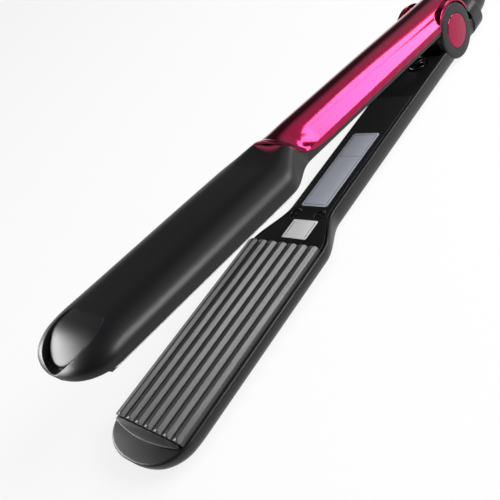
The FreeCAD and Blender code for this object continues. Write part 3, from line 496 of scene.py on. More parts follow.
LOWER_REAR, NECK_BORE = -15.7, 4.65
lower_shell = arm_skin("lower_shell", lower_depth, LOWER_REAR)
carve(lower_shell, arm_hollow(lower_depth, LOWER_REAR + 1.1))
nose_bays(lower_shell)
carve(lower_shell, scoop_cutter(lower_depth))
lower_shell = joined(lower_shell, ear(1), ear(-1), tail_block())
carve(lower_shell, rod("bore", -CLEAR, LOWER_REAR + 2, NECK_BORE, "X", (0, 0, COLLAR_Z)))
settle(lower_shell, LOWER, "lower_arm", black_abs, "black_plastic", "lower_housing")


# Upper shell.
# The same moulding for the upper arm; its handle is only a low strip, because the coloured cover
# stands on it. A knuckle between the ears and a deck in front of it take the pin and the spring.
UPPER_REAR = -14.2
NECK_RISE, NOSE_DROOP = 2.4, 0.5
SPLIT_HEIGHT, COVER_FRONT, JOINT_GAP, ABOVE = 5.2, 123.6, 0.1, 40.0
ROOM_INNER, ROOM_RADIUS = EAR_INNER - 0.2, EAR_RADIUS + 0.5
KNUCKLE_HALF, KNUCKLE_RADIUS, KNUCKLE_EDGE, BUSH_RADIUS = 8.55, 9.0, 0.4, 4.0
DECK_END, DECK_HEIGHT, SHELF_START, SHELF_HALF = 27.0, 9.0, 13.8, 10.6
SPRING_PLACE, WELL_RADIUS, WELL_FLOOR = 20.0, 4.95, 8.3


def upper_depth(x):
    """The arm is as deep as the cover where the two meet, and droops a little to the nose."""
    rise = NECK_RISE * (1 - fade(x, 112, FLARE_END))
    depth = BARREL_DEPTH + rise - NOSE_DROOP * fade(x, 150, 215)
    return RIM + (depth - RIM) * nose_round(x, NOSE_FALL, 2.0)


def parting_line(gap):
    """Side view of the joint between the cover and the shell, as (x, z) from rear to front."""
    level = SPLIT_HEIGHT + gap
    ends = [(98.0, level), (114.0, level), (121.5, 7.6 + gap), (COVER_FRONT - gap, 19.0)]
    return [(-CLEAR, level)] + [bezier(ends, i / 40) for i in range(41)]


def above_parting(gap):
    """All the space on the cover's side of the joint."""
    line = parting_line(gap)
    outline = line + [(line[-1][0], ABOVE), (-CLEAR, ABOVE)]
    return capped("region", [[(x, side, z) for x, z in outline] for side in (-CLEAR, CLEAR)])


def ear_room(piece):
    """Cuts the round spaces in which the ears turn."""
    for side in (1, -1):
        carve(piece, rod("room", side * ROOM_INNER, side * CLEAR, ROOM_RADIUS, "Y"))


def spring_well():
    """Form of the round well in which the spring stands."""
    return upright(rod("well", 0.0, WELL_FLOOR, WELL_RADIUS, "X"), SPRING_PLACE)


upper_shell = arm_skin("upper_shell", upper_depth, UPPER_REAR)
carve(upper_shell, arm_hollow(upper_depth, UPPER_REAR + WALL))
nose_bays(upper_shell)
carve(upper_shell, above_parting(0.0))
ear_room(upper_shell)
carve(upper_shell, scoop_cutter(upper_depth))
knuckle_half = [(KNUCKLE_HALF - KNUCKLE_EDGE, KNUCKLE_RADIUS),
                (KNUCKLE_HALF, KNUCKLE_RADIUS - KNUCKLE_EDGE), (KNUCKLE_HALF, BUSH_RADIUS)]
knuckle = turned("knuckle", [(-y, r) for y, r in reversed(knuckle_half)] + knuckle_half, "Y")
web = block("web", (UPPER_REAR + 2, -KNUCKLE_HALF, RIM), (DECK_END, KNUCKLE_HALF, DECK_HEIGHT))
carve(web, rod("bore", -9, 9, BUSH_RADIUS, "Y"))
carve(web, spring_well())
shelf = block("shelf", (SHELF_START, -SHELF_HALF, RIM), (DECK_END, SHELF_HALF, SPLIT_HEIGHT))
carve(shelf, spring_well())
upper_shell = joined(upper_shell, knuckle, web, shelf)
settle(upper_shell, UPPER, "upper_arm", black_abs, "black_plastic", "upper_housing")


# Coloured cover.
# A separate ABS moulding, vacuum-metallised and lacquered in magenta, that snaps over the upper
# handle. A long facet runs down each side, its edges flare into a lip, and a bead rings each ear.
FACET_TILT, FACET_FOOT = math.radians(52), 7.8
COVER_FOOT, FOOT_STEP = 2.47, 0.533
COVER_WALL, REAR_ROUNDING = 1.5, 3.0


def cover_marks(x):
    """Side, brow and crown of the cover's section; the brow comes down towards the hinge."""
    width = arm_half(x) + 0.05
    brow = 9.82 - 0.017 * x + (width - HANDLE_HALF)
    brow_z = FACET_FOOT + (width - brow) * math.tan(FACET_TILT)
    crown = 16.5 + 0.35 * fade(x, 10, 60) - 0.5 * fade(x, 106, 124)
    return width, brow, brow_z, crown


def cover_half_section(x):
    """From the foot over the facet to the middle of the crown."""
    width, brow, brow_z, crown = cover_marks(x)
    points = [(width, COVER_FOOT + FOOT_STEP * i) for i in range(11)]
    points += [(width + (brow - width) * i / 12, FACET_FOOT + (brow_z - FACET_FOOT) * i / 12)
               for i in range(1, 13)]
    rise = crown - brow_z
    radius = (brow ** 2 + rise ** 2) / (2 * rise)
    top = math.asin(brow / radius)
    for i in range(1, 25):
        angle = top * (1 - i / 24)
        points.append((radius * math.sin(angle), crown - radius + radius * math.cos(angle)))
    return points


def lip(x, z, line):
    """How far the skin stands out near the joint."""
    reach = min(math.hypot(x - px, z - pz) for px, pz in line)
    front = fade(x, 115, 121)
    return 0.45 * (1 - fade(reach, 0.2, 1.6 + 0.6 * front))


def cover_ring(x, rear_inset, line):
    """The cover's closed section at x, drawn in by rear_inset where its rear is rounded."""
    half = []
    width, brow, brow_z, crown = cover_marks(x)
    out_y, out_z = math.sin(FACET_TILT), math.cos(FACET_TILT)
    chord = math.hypot(width - brow, brow_z - FACET_FOOT)
    # Towards the front the facet swells into the round body and so ends.
    swell = 0.7 * fade(x, 106, 114)
    for y, z in cover_half_section(x):
        along = ((width - y) * out_z + (z - FACET_FOOT) * out_y) / chord
        if swell > 0 and z > FACET_FOOT and -0.2 < along < 1.3:
            bulge = swell * math.sin(math.pi * min(max((along + 0.2) / 1.5, 0), 1)) ** 1.5
            y, z = y + bulge * out_y, z + bulge * out_z
        # The lip flares upwards over the crown and sideways along the handle.
        stand = lip(x, z, line)
        tilt = math.atan2(max(z - 8.0, 0), max(y, 0.001) * 0.6)
        y, z = y + stand * math.cos(tilt) * min(y / 6, 1), z + stand * math.sin(tilt)
        half.append((x, max(y - rear_inset * min(y / 3, 1), 0), z - rear_inset * fade(z, 3, 10)))
    return half + [(px, -py, pz) for px, py, pz in reversed(half[:-1])]


def cover_solid(name, inset):
    """The outer form of the cover with its rounded rear, or the space a wall's thickness inside."""
    line = [(-20 + 2.0 * i, SPLIT_HEIGHT + JOINT_GAP) for i in range(59)]
    line += parting_line(JOINT_GAP)[1:]
    rings = []
    for i in range(9):
        angle = math.radians(90 * i / 8)
        rings.append(cover_ring(inset + UPPER_REAR + REAR_ROUNDING * (1 - math.cos(angle)),
                                REAR_ROUNDING * (1 - math.sin(angle)), line))
    body = inset + UPPER_REAR + REAR_ROUNDING + 0.6
    for x in spaced(body, 100, 1.6) + spaced(100, 115, 0.6) + spaced(115, 127 + inset, 0.3):
        rings.append(cover_ring(x, 0.0, line))
    # The handle is about 12 mm from its middle to its side, so this moves the sides in by inset.
    share = 1 - inset / 12
    return loft(name, [[(x, y * share, z - inset) for x, y, z in ring] for ring in rings])


def ear_bead(side):
    """Rounded raised collar round an ear, on the cover's side of the joint."""
    inner, roll, place = ROOM_RADIUS + 0.05, 0.75, 11.35
    profile = [(EAR_INNER, inner), (place + roll, inner)]
    profile += arc(place, inner + 0.55, roll, range(90, -1, -18))
    profile += [(10.4, 14.8), (EAR_INNER, 15.0)]
    bead = turned("bead", [(side * y, r) for y, r in profile], "Y", steps=120)
    return carve(bead, above_parting(JOINT_GAP), "INTERSECT")


# Vacuum-metallised ABS under tinted lacquer: a deep mirror with a faint orange peel of about
# 3 mm and a fine metal sparkle, which gives hot pink lines on a dark wine ground.
metallised, tree, shader = surface_of("metallised_lacquer", "#A61646", 0.12, metallic=1.0,
                                      coat_weight=0.2, coat_roughness=0.05)
sparkle, peel = noise(tree, 2600.0, 2.0), noise(tree, 330.0, 1.0)
dress(tree, shader, sparkle, ("#9A1240", "#B21A4C"), (0.11, 0.17), peel, 0.05, 0.3, edge=0.35)

upper_cover_skin = cover_solid("upper_cover_skin", 0.0)
carve(upper_cover_skin, cover_solid("inside", COVER_WALL))
carve(upper_cover_skin, above_parting(JOINT_GAP), "INTERSECT")
ear_room(upper_cover_skin)
upper_cover_skin = joined(upper_cover_skin, ear_bead(1), ear_bead(-1))
settle(upper_cover_skin, UPPER, "upper_arm", metallised, "magenta_metallic", "upper_cover")


# Hinge caps.
# Two discs of the same metallised ABS as the cover, pressed into the seats of the ears over the
# ends of the pin. Each has a rounded brim and a slightly domed face.
CAP_PROUD, CAP_BRIM, CAP_DOME = 0.4, 0.45, 0.25


def hinge_cap(name, side):
    seat, face, flat = EAR_OUTER - CAP_DEPTH, EAR_OUTER + CAP_PROUD, CAP_RADIUS - CAP_BRIM
    profile = [(seat, 0.0), (seat, CAP_RADIUS)]
    profile += arc(face - CAP_DOME - CAP_BRIM, flat, CAP_BRIM, range(0, 91, 18))
    for i in range(1, 13):
        radius = flat * (1 - i / 12)
        profile.append((face - CAP_DOME * (radius / flat) ** 2, radius))
    cap = turned(name, [(side * y, r) for y, r in profile], "Y", steps=96)
    settle(cap, LOWER, "lower_arm", metallised, "magenta_metallic", name)


# The lower arm is drawn upside down, so its own +Y side is the far one.
hinge_cap("hinge_cap_far", 1)
hinge_cap("hinge_cap_near", -1)


# Swivel collar.
# A moulded ABS collar behind the tail that holds the cord. It turns on a hollow neck, which a
# flange keeps in the tail.
COLLAR_REAR, COLLAR_FRONT, COLLAR_EDGE = -44.0, -25.3, 0.8
COLLAR_TIP, INLET_RADIUS, WIRE_WAY, SWIVEL_NECK = 5.6, 3.4, 3.7, 4.6
FLANGE_REAR, FLANGE_FRONT, FLANGE_RADIUS = -17.1, -15.9, 5.7
collar_profile = [(COLLAR_REAR, INLET_RADIUS), (COLLAR_REAR, COLLAR_TIP)]
collar_profile += arc(COLLAR_REAR + COLLAR_EDGE, COLLAR_TIP, COLLAR_EDGE, range(-72, 1, 18))
collar_profile += [(-39.5, 7.3), (-36.5, 7.95), (-34.0, 8.25), (-32.0, 8.3)]
collar_profile += arc(COLLAR_FRONT - COLLAR_EDGE, 7.5, COLLAR_EDGE, range(0, 91, 18))
collar_profile += [(COLLAR_FRONT, SWIVEL_NECK), (FLANGE_REAR, SWIVEL_NECK),
                   (FLANGE_REAR, FLANGE_RADIUS), (FLANGE_FRONT, FLANGE_RADIUS),
                   (FLANGE_FRONT, WIRE_WAY), (COLLAR_FRONT, WIRE_WAY), (COLLAR_FRONT, INLET_RADIUS)]
cord_collar = turned("cord_collar", collar_profile, "X", (0, 0, COLLAR_Z), steps=96)
settle(cord_collar, LOWER, "cord_swivel", black_abs, "black_plastic", "cord_swivel")


# Heated plates.
# Extruded aluminium with ridges along the arm and bevelled ends, under a dark non-stick coat. The
# lower plate has seven; the upper has six, which sink between them, and a sloping edge each side.
PITCH, RIDGE_HEIGHT, RIDGE_PEAK, PLATE_BACK = 5.4, 2.0, -0.5, 4.0
STEEP_RUN, EDGE_ROUNDING = 1.5, 0.3
BEVEL_DEPTH, BEVEL_SLOPE, EDGE_SLOPE = 0.8, 1.154, 1.05
# The upper ridges stand over the lower valleys.
UPPER_SHIFT = PITCH / 2 - STEEP_RUN


def ridge_profile(y):
    """Height over one pitch: a steep flank, a peak and a gentle flank, all slightly rounded."""
    total = 0.0
    for i in range(7):
        run = (y + EDGE_ROUNDING * (i - 3) / 3 + PITCH / 2) % PITCH
        if run < STEEP_RUN:
            total += 1 - run / STEEP_RUN
        else:
            total += (run - STEEP_RUN) / (PITCH - STEEP_RUN)
    return RIDGE_PEAK + RIDGE_HEIGHT * total / 7


def ridge_strip():
    """One pitch of the plate, closed, with both ends bevelled."""
    ys = [PITCH * (i / 32 - 0.5) for i in range(33)]
    bevel = [0.0, 0.25, 0.5, 0.75, 1.0, 1.2]
    rows = []
    for x in [PLATE_START + d for d in bevel] + [PLATE_END - d for d in reversed(bevel)]:
        lowest = RIDGE_PEAK + BEVEL_DEPTH - BEVEL_SLOPE * min(x - PLATE_START, PLATE_END - x)
        row = [(x, y, max(ridge_profile(y), lowest)) for y in ys]
        rows.append(row + [(x, ys[-1], PLATE_BACK), (x, ys[0], PLATE_BACK)])
    return capped("ridge", rows)


def edge_strip(side):
    """The sloping edge of the upper plate, from its last ridge to its side."""
    inner, outer = UPPER_SHIFT + side * 3 * PITCH, side * 3.5 * PITCH
    foot = ridge_profile(PITCH / 2)
    profile = [(inner, foot), (outer, foot + EDGE_SLOPE), (outer, PLATE_BACK), (inner, PLATE_BACK)]
    return capped("edge", [[(x, y, z) for y, z in profile] for x in (PLATE_START, PLATE_END)])


def geometry_tree(name, **inputs):
    """An empty Geometry Nodes tree with named inputs."""
    tree = bpy.data.node_groups.new(name, "GeometryNodeTree")
    tree.interface.new_socket("Geometry", in_out="INPUT", socket_type="NodeSocketGeometry")
    for label, kind in inputs.items():
        tree.interface.new_socket(label, in_out="INPUT", socket_type="NodeSocket" + kind)
    tree.interface.new_socket("Geometry", in_out="OUTPUT", socket_type="NodeSocketGeometry")
    return tree, tree.nodes.new("NodeGroupInput").outputs


def end_tree(tree, geometry, material):
    real = add(tree, "GeometryNodeRealizeInstances", {"Geometry": geometry})
    coated = add(tree, "GeometryNodeSetMaterial", {"Geometry": real.outputs["Geometry"],
                                                   "Material": material})
    add(tree, "NodeGroupOutput", {"Geometry": coated.outputs["Geometry"]})


def grown(name, tree, points=(), **values):
    """A piece made by a tree from single points, as a plain mesh."""
    mesh = bpy.data.meshes.new(name)
    mesh.from_pydata(list(points), [], [])
    piece = bpy.data.objects.new(name, mesh)
    bpy.context.scene.collection.objects.link(piece)
    modifier = piece.modifiers.new("grow", "NODES")
    modifier.node_group = tree
    for item in tree.interface.items_tree:
        if item.in_out == "INPUT" and item.name in values:
            modifier[item.identifier] = values[item.name]
    return plain(piece)


# Aluminium under a thin satin ceramic coat: nearly black, but its gloss turns the flanks that
# face a lamp grey. The lines of the extrusion are drawn about 0.5 mm apart, coarser than real ones.
coated_plate, tree, shader = surface_of("coated_aluminium", "#201E21", 0.37,
                                       specular_ior_level=0.85)
lines = noise(tree, 1800.0, 3.0, stretch=(0.03, 1.0, 1.0))
dress(tree, shader, lines, ("#1C1A1D", "#262427"), (0.38, 0.46), lines, 0.2, 0.05)

plate_tree, given = geometry_tree("ridges_at_pitch", Ridge="Object", Count="Int", Pitch="Float")
step = add(plate_tree, "ShaderNodeCombineXYZ", {"Y": given["Pitch"]})
less = add(plate_tree, "ShaderNodeMath", {0: given["Count"], 1: 1.0}, operation="SUBTRACT")
reach = add(plate_tree, "ShaderNodeMath", {0: less.outputs[0], 1: given["Pitch"]},
            operation="MULTIPLY")
half_reach = add(plate_tree, "ShaderNodeMath", {0: reach.outputs[0], 1: -0.5},
                 operation="MULTIPLY")
first = add(plate_tree, "ShaderNodeCombineXYZ", {"Y": half_reach.outputs[0]})
row = add(plate_tree, "GeometryNodeMeshLine", {"Count": given["Count"],
                                               "Start Location": first.outputs[0],
                                               "Offset": step.outputs[0]})
shape = add(plate_tree, "GeometryNodeObjectInfo", {"Object": given["Ridge"]})
ridges = add(plate_tree, "GeometryNodeInstanceOnPoints", {"Points": row.outputs["Mesh"],
                                                          "Instance": shape.outputs["Geometry"]})
end_tree(plate_tree, ridges.outputs["Instances"], coated_plate)

ridge = ridge_strip()
plate = grown("lower_plate_ridged", plate_tree, Ridge=ridge, Count=7, Pitch=PITCH)
settle(plate, LOWER, "lower_arm", None, "coated_plate", "lower_plate", crease=50)
plate = grown("upper_plate_ridged", plate_tree, Ridge=ridge, Count=6, Pitch=PITCH)
plate.data.transform(Matrix.Translation((0, UPPER_SHIFT, 0)))
joined(plate, edge_strip(1), edge_strip(-1))
settle(plate, UPPER, "upper_arm", None, "coated_plate", "upper_plate", crease=50)
bpy.data.objects.remove(ridge)


# Plate carriers.
# Glass-filled heat-resistant mouldings behind the plates; each ends in the low curved ledge that
# shows between its plate and the nose.
def softened(name, node, width):
    """A copy of a CAD node whose sharp corners are rounded by width mm."""
    piece = bpy.data.objects.new(name, frame["nodes"][node].data.copy())
    bpy.context.scene.collection.objects.link(piece)
    shape = bmesh.new()
    shape.from_mesh(piece.data)
    bmesh.ops.remove_doubles(shape, verts=shape.verts, dist=1e-6)
    bmesh.ops.dissolve_limit(shape, angle_limit=math.radians(1), verts=shape.verts,
                             edges=shape.edges)
    shape.to_mesh(piece.data)
    shape.free()
    piece.data.shade_smooth()
    bevel = piece.modifiers.new("corners", "BEVEL")
    bevel.width = width * 0.001
    bevel.segments = 3
    bevel.limit_method = "ANGLE"
    bevel.angle_limit = math.radians(35)
    bevel.harden_normals = True
    return plain(piece)


# Glass-filled PBT: dull black, a little rougher and greyer than the shells.
black_pbt, tree, shader = surface_of("glass_filled_pbt", "#202022", 0.45, ior=1.55)
mottled(tree, shader, 1500, "#121214", "#1A1A1C", 0.38, 0.50, 0.1, edge=0.5)
for side in ("lower", "upper"):
    carrier = softened(side + "_carrier", side + "_plate_carrier", 0.45)
    settle(carrier, Matrix(), side + "_arm", black_pbt, "black_plastic", side + "_plate_carrier")


# Inner covers.
# Flat ABS mouldings let into the inner side of each handle, where small screws hold them. The
# upper one has the slot of the switch and the hole of the lens.
for side in ("lower", "upper"):
    inner = softened(side + "_inner", side + "_inner_cover", 0.2)
    settle(inner, Matrix(), side + "_arm", black_abs, "black_plastic", side + "_inner_cover")


# Cover screws.
# Pan heads with a cross recess, blackened steel: a pair at the front end of each cover and one
# more at the rear of the upper one.
SCREW_SEAT = RIM + 0.3
FRONT_SCREWS = [(119.2, -6.45, SCREW_SEAT), (119.2, 6.45, SCREW_SEAT)]
REAR_SCREW = (50.0, 0.0, SCREW_SEAT)


def screw_form():
    """One screw, its domed head towards the other arm."""
    profile = [(0.0, 0.0), (0.0, 1.6), (0.18, 2.1), (0.5, 2.35), (0.8, 2.4), (0.8, 1.2), (5.8, 1.2),
               (5.8, 0.0)]
    screw = upright(turned("screw", profile, "X", steps=32), 0)
    for wide, long in ((0.35, 1.5), (1.5, 0.35)):
        carve(screw, block("slot", (-wide, -long, -0.5), (wide, long, 0.5)))
    return screw


# Blackened steel: a thin oxide over ground metal, nearly black with a hard, small highlight.
black_steel, tree, shader = surface_of("blackened_steel", "#2C2C2F", 0.3, metallic=0.85)
mottled(tree, shader, 2500, "#252528", "#38383B", 0.24, 0.36, 0.2, edge=0.15)

screw_tree, given = geometry_tree("screws_on_points", Screw="Object")
spots = add(screw_tree, "GeometryNodeMeshToPoints", {"Mesh": given["Geometry"]})
shape = add(screw_tree, "GeometryNodeObjectInfo", {"Object": given["Screw"]})
placed = add(screw_tree, "GeometryNodeInstanceOnPoints", {"Points": spots.outputs["Points"],
                                                          "Instance": shape.outputs["Geometry"]})
end_tree(screw_tree, placed.outputs["Instances"], black_steel)

screw = screw_form()
screws = grown("lower_screws", screw_tree, FRONT_SCREWS, Screw=screw)
settle(screws, LOWER, "lower_arm", None, "black_steel", "lower_cover_screws")
screws = grown("upper_screws", screw_tree, FRONT_SCREWS + [REAR_SCREW], Screw=screw)
settle(screws, UPPER, "upper_arm", None, "black_steel", "upper_cover_screws")
bpy.data.objects.remove(screw)


# Rating plate and sticker.
# A silver polyester label lies along the lower inner cover and a small paper sticker beside the
# screws. Both are blank: only plain printed rules divide them.
LABEL_THICK, STICKER_THICK, RULE_THICK = 0.12, 0.1, 0.015


def flat_label(name, low, high, thick, corner):
    """A thin rounded rectangle on the inner cover, facing the other arm."""
    outline = rounded_rectangle(low, high, corner, 6)
    return capped(name, [[(x, y, z) for x, y in outline] for z in (RIM, RIM - thick)])


def printed_rules(name, rules, level):
    """Thin printed bars, each from one corner to the other."""
    bars = [block("rule", (x0, y0, level - RULE_THICK), (x1, y1, level))
            for x0, y0, x1, y1 in rules]
    bars[0].name = name
    return joined(*bars)


# Metallised polyester film: soft silver grey, evenly matt.
label_film, tree, shader = surface_of("polyester_film", "#BEC2CE", 0.38, metallic=0.15)
mottled(tree, shader, 900, "#B8BCC8", "#C4C8D4", 0.34, 0.44, 0.05)
# Coated paper: plain white, hardly glossy.
label_paper, tree, shader = surface_of("coated_paper", "#ECECEC", 0.6, ior=1.5)
mottled(tree, shader, 1200, "#E6E6E8", "#F2F2F2", 0.55, 0.68, 0.1)
# Printing ink: flat dark grey.
ink, tree, shader = surface_of("printing_ink", "#2A2A2E", 0.55, ior=1.5)
mottled(tree, shader, 1200, "#26262A", "#303034", 0.5, 0.6, 0.05)

label = flat_label("rating_label", (69.0, -6.94), (114.6, 6.94), LABEL_THICK, 1.0)
settle(label, LOWER, "lower_arm", label_film, "black_plastic")
rules = printed_rules("rating_label_rules", [
    (70.0, -6.0, 113.6, -5.8), (70.0, 5.8, 113.6, 6.0), (70.0, -6.0, 70.2, 6.0),
    (113.4, -6.0, 113.6, 6.0), (84.0, -6.0, 84.15, 6.0)], RIM - LABEL_THICK)
settle(rules, LOWER, "lower_arm", ink, "black_plastic")
sticker = flat_label("paper_sticker", (122.6, -8.0), (132.8, 5.0), STICKER_THICK, 0.6)
settle(sticker, LOWER, "lower_arm", label_paper, "black_plastic")
rules = printed_rules("paper_sticker_rules", [(123.6, -7.0, 131.8, -6.8),
                                              (123.6, 3.8, 131.8, 4.0)], RIM - STICKER_THICK)
settle(rules, LOWER, "lower_arm", ink, "black_plastic")


# Opening spring.
# Blackened music wire, wound cold, that stands in the wells of both arms and pushes them apart.
# Its box comes from the frame, so its sizes are in metres.
spring_low, spring_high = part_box("opening_spring")
WIRE, COIL_RADIUS, COIL_TURNS = 0.0011, 0.0035, 5.5
# Oil-blacked spring wire: dark, with a thin bright line along each turn.
spring_wire, tree, shader = surface_of("oil_blacked_wire", "#3A3A3E", 0.28, metallic=0.9)
mottled(tree, shader, 1800, "#323236", "#48484C", 0.22, 0.34, 0.1)
spring_tree, given = geometry_tree("coil", Turns="Float", Radius="Float", Height="Float",
                                   Wire="Float")
coil = add(spring_tree, "GeometryNodeCurveSpiral", {"Resolution": 40, "Rotations": given["Turns"],
                                                    "Start Radius": given["Radius"],
                                                    "End Radius": given["Radius"],
                                                    "Height": given["Height"]})
round_wire = add(spring_tree, "GeometryNodeCurvePrimitiveCircle", {"Resolution": 12,
                                                                   "Radius": given["Wire"]})
tube = add(spring_tree, "GeometryNodeCurveToMesh", {"Curve": coil.outputs["Curve"],
                                                    "Profile Curve": round_wire.outputs["Curve"],
                                                    "Fill Caps": True})
end_tree(spring_tree, tube.outputs["Mesh"], spring_wire)
spring = grown("coil_spring", spring_tree, Turns=COIL_TURNS, Radius=COIL_RADIUS,
               Height=spring_high.z - spring_low.z - WIRE, Wire=WIRE / 2)
coil_centre = Vector(((spring_low.x + spring_high.x) / 2, 0, spring_low.z + WIRE / 2))
settle(spring, Matrix.Translation(coil_centre), "lower_arm", None, "spring_steel",
       "opening_spring", crease=60)
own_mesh(spring)


# Switch and lens.
# A slide switch and the red lens of the pilot light sit in the upper arm's inner cover; both are
# moulded, and their cases are behind the cover.
LENS_PLACE, LENS_RADIUS, LENS_DOME = 84.0, 1.8, 0.4
LENS_BACK, LENS_RIM = RIM + 2.9, RIM + 0.3

# Moulded switch plastic: satin black, a touch glossier from handling.
switch_plastic, tree, shader = surface_of("acetal_switch", "#222224", 0.34, ior=1.48)
mottled(tree, shader, 1600, "#1E1E20", "#28282A", 0.3, 0.4, 0.15, edge=0.2)
slider = softened("slide_switch", "switch_slider", 0.2)
settle(slider, Matrix(), "switch_slider", switch_plastic, "switch_plastic", "switch_slider")

# Clear red polycarbonate, lit only by what falls on it.
lens_red, tree, shader = surface_of("red_polycarbonate", "#B00C10", 0.12, ior=1.58,
                                    transmission_weight=0.5)
mottled(tree, shader, 800, "#A80A0E", "#BC1014", 0.08, 0.16, 0.05)
lens_profile = [(LENS_BACK, 0.0), (LENS_BACK, LENS_RADIUS), (LENS_RIM, LENS_RADIUS)]
for i in range(1, 9):
    angle = math.radians(90 * i / 8)
    lens_profile.append((LENS_RIM - LENS_DOME * math.sin(angle), LENS_RADIUS * math.cos(angle)))
lens = upright(turned("indicator_dome", lens_profile, "X", steps=48), LENS_PLACE)
settle(lens, UPPER, "upper_arm", lens_red, "lens_red", "indicator_lens", crease=40)


# Parts inside the arms and the hinge.
# These CAD nodes keep their shape: the ground pin with its nylon bush and washers, the heaters
# with their mica pads, the switch case and the circuit board.
# Ground and polished steel pin.
pin_steel, tree, shader = surface_of("ground_steel", "#B9BABD", 0.22, metallic=1.0)
mottled(tree, shader, 2500, "#B0B1B4", "#C4C5C8", 0.18, 0.28, 0.1, edge=0.2)
# Natural nylon: milky, waxy and slightly see-through at its edges.
nylon, tree, shader = surface_of("natural_nylon", "#D8D4C6", 0.42, ior=1.53,
                                 subsurface_weight=0.1)
mottled(tree, shader, 1000, "#D2CEC0", "#DEDACC", 0.38, 0.48, 0.1, edge=0.2)
# Stainless sleeve round the heater bar.
heater_sleeve, tree, shader = surface_of("stainless_sleeve", "#A8A49C", 0.35, metallic=1.0)
mottled(tree, shader, 1200, "#9C988F", "#B4B0A8", 0.3, 0.42, 0.1, edge=0.2)
# Pressed mica: dull tan flakes of about 1 mm.
mica, tree, shader = surface_of("pressed_mica", "#9A8C6C", 0.7, ior=1.58)
mottled(tree, shader, 950, "#8A7C5E", "#AA9C7C", 0.6, 0.8, 0.3)
# Glass-epoxy laminate under green solder resist.
laminate, tree, shader = surface_of("solder_resist", "#1C5A34", 0.35, ior=1.55)
mottled(tree, shader, 900, "#184F2D", "#21653B", 0.3, 0.42, 0.2)

for node, material in (("hinge_pin", pin_steel), ("hinge_bush", nylon),
                       ("hinge_washer_near", nylon), ("hinge_washer_far", nylon),
                       ("lower_heater", heater_sleeve), ("upper_heater", heater_sleeve),
                       ("lower_insulator", mica), ("upper_insulator", mica),
                       ("switch_body", switch_plastic), ("circuit_board", laminate)):
    frame["nodes"][node].data.materials.clear()
    frame["nodes"][node].data.materials.append(material)


# Floor, lamps, world and camera.
# A white sweep and four softboxes: the key on the near side, a smaller one beside it, a wide one
# behind that shows as gloss only, and one above that gives none. The sky is dark, which keeps the
# plated crown deep, but pale at the horizon and in a soft window high over the hinge's end.
floor = piece_of("floor", [(-40, -40, 0), (40, -40, 0), (40, 40, 0), (-40, 40, 0)], [(0, 1, 2, 3)])
if floor.data.polygons[0].normal.z < 0:
    floor.data.flip_normals()
white = bpy.data.materials.new("white_sweep")
white.use_nodes = True
tree = white.node_tree
tree.nodes.remove(tree.nodes["Principled BSDF"])
grain = add(tree, "ShaderNodeTexNoise", {"Scale": 40.0})
paper = add(tree, "ShaderNodeMix", {"Factor": grain.outputs["Fac"], 6: linear("#F4F4F4"),
                                    7: linear("#F6F6F6")}, data_type="RGBA")
ray = add(tree, "ShaderNodeLightPath")
seen = add(tree, "ShaderNodeMath", {0: ray.outputs["Is Camera Ray"],
                                    1: ray.outputs["Is Glossy Ray"]}, operation="MAXIMUM")
shown = add(tree, "ShaderNodeMath", {0: seen.outputs[0], 1: ray.outputs["Is Transmission Ray"]},
            operation="MAXIMUM")
share = add(tree, "ShaderNodeMath", {0: shown.outputs[0], 1: 0.85}, operation="MULTIPLY")
matt = add(tree, "ShaderNodeBsdfDiffuse", {"Color": paper.outputs[2]})
glow = add(tree, "ShaderNodeEmission", {"Color": (1, 1, 1, 1), "Strength": 1.0})
both = add(tree, "ShaderNodeMixShader", {0: share.outputs[0], 1: matt.outputs[0],
                                         2: glow.outputs[0]})
tree.links.new(both.outputs[0], tree.nodes["Material Output"].inputs["Surface"])
floor.data.materials.append(white)


def softbox(name, direction, distance, width, height, power, diffuse=True, glossy=True):
    """A rectangular lamp that looks at the middle of the crimper."""
    lamp = bpy.data.lights.new(name, "AREA")
    lamp.shape = "RECTANGLE"
    lamp.size, lamp.size_y = width, height
    lamp.energy = power
    holder = bpy.data.objects.new(name, lamp)
    way = Vector(direction).normalized()
    holder.location = way * distance + Vector((0, 0, 0.03))
    holder.rotation_euler = way.to_track_quat("Z", "Y").to_euler()
    holder.visible_diffuse, holder.visible_glossy = diffuse, glossy
    bpy.context.scene.collection.objects.link(holder)


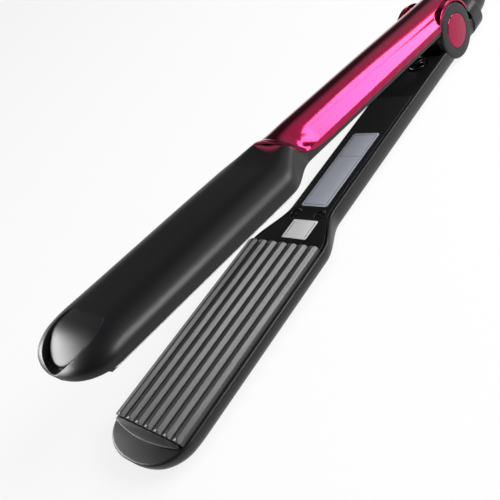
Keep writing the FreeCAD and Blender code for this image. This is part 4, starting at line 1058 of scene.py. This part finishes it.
softbox("key_softbox", (0.32, -0.76, 0.565), 1.1, 0.45, 0.45, 8.5)
softbox("side_softbox", (0.80, -0.45, 0.40), 1.1, 0.30, 0.40, 3.8)
softbox("back_softbox", (-0.47, 0.814, 0.342), 1.1, 0.80, 0.50, 18.0, diffuse=False)
softbox("fill_softbox", (0.10, -0.25, 0.96), 1.1, 0.60, 0.60, 5.0, glossy=False)

world = bpy.data.worlds.new("studio")
bpy.context.scene.world = world
world.use_nodes = True
tree = world.node_tree
direction = add(tree, "ShaderNodeTexCoord")
split = add(tree, "ShaderNodeSeparateXYZ", {"Vector": direction.outputs["Generated"]})
low = add(tree, "ShaderNodeMapRange", {"Value": split.outputs["Z"], "From Min": 0.0,
                                       "From Max": 0.12, "To Min": 0.42, "To Max": 0.0},
          interpolation_type="SMOOTHSTEP")
window = add(tree, "ShaderNodeVectorMath", {0: direction.outputs["Generated"],
                                            1: (0.75, -0.25, 0.61)}, operation="DOT_PRODUCT")
high = add(tree, "ShaderNodeMapRange", {"Value": window.outputs["Value"], "From Min": 0.74,
                                        "From Max": 0.985, "To Min": 0.05, "To Max": 0.7},
           interpolation_type="SMOOTHSTEP")
level = add(tree, "ShaderNodeMath", {0: low.outputs["Result"], 1: high.outputs["Result"]})
ray = add(tree, "ShaderNodeLightPath")
seen = add(tree, "ShaderNodeMix", {"Factor": ray.outputs["Is Camera Ray"],
                                   "A": level.outputs[0], "B": 1.0})
tree.links.new(seen.outputs[0], tree.nodes["Background"].inputs["Strength"])
tree.nodes["Background"].inputs["Color"].default_value = (1, 1, 1, 1)

lens_data = bpy.data.cameras.new("camera")
lens_data.lens = 51.147
lens_data.sensor_width = 36.0
lens_data.clip_start = 0.01
lens_data.clip_end = 100.0
camera = bpy.data.objects.new("camera", lens_data)
camera.location = (-0.16769, -0.19309, 0.171103)
camera.rotation_euler = [math.radians(angle) for angle in (51.0227, 28.4887, -51.4508)]
bpy.context.scene.collection.objects.link(camera)
bpy.context.scene.camera = camera
bpy.context.scene.view_settings.view_transform = "Standard"
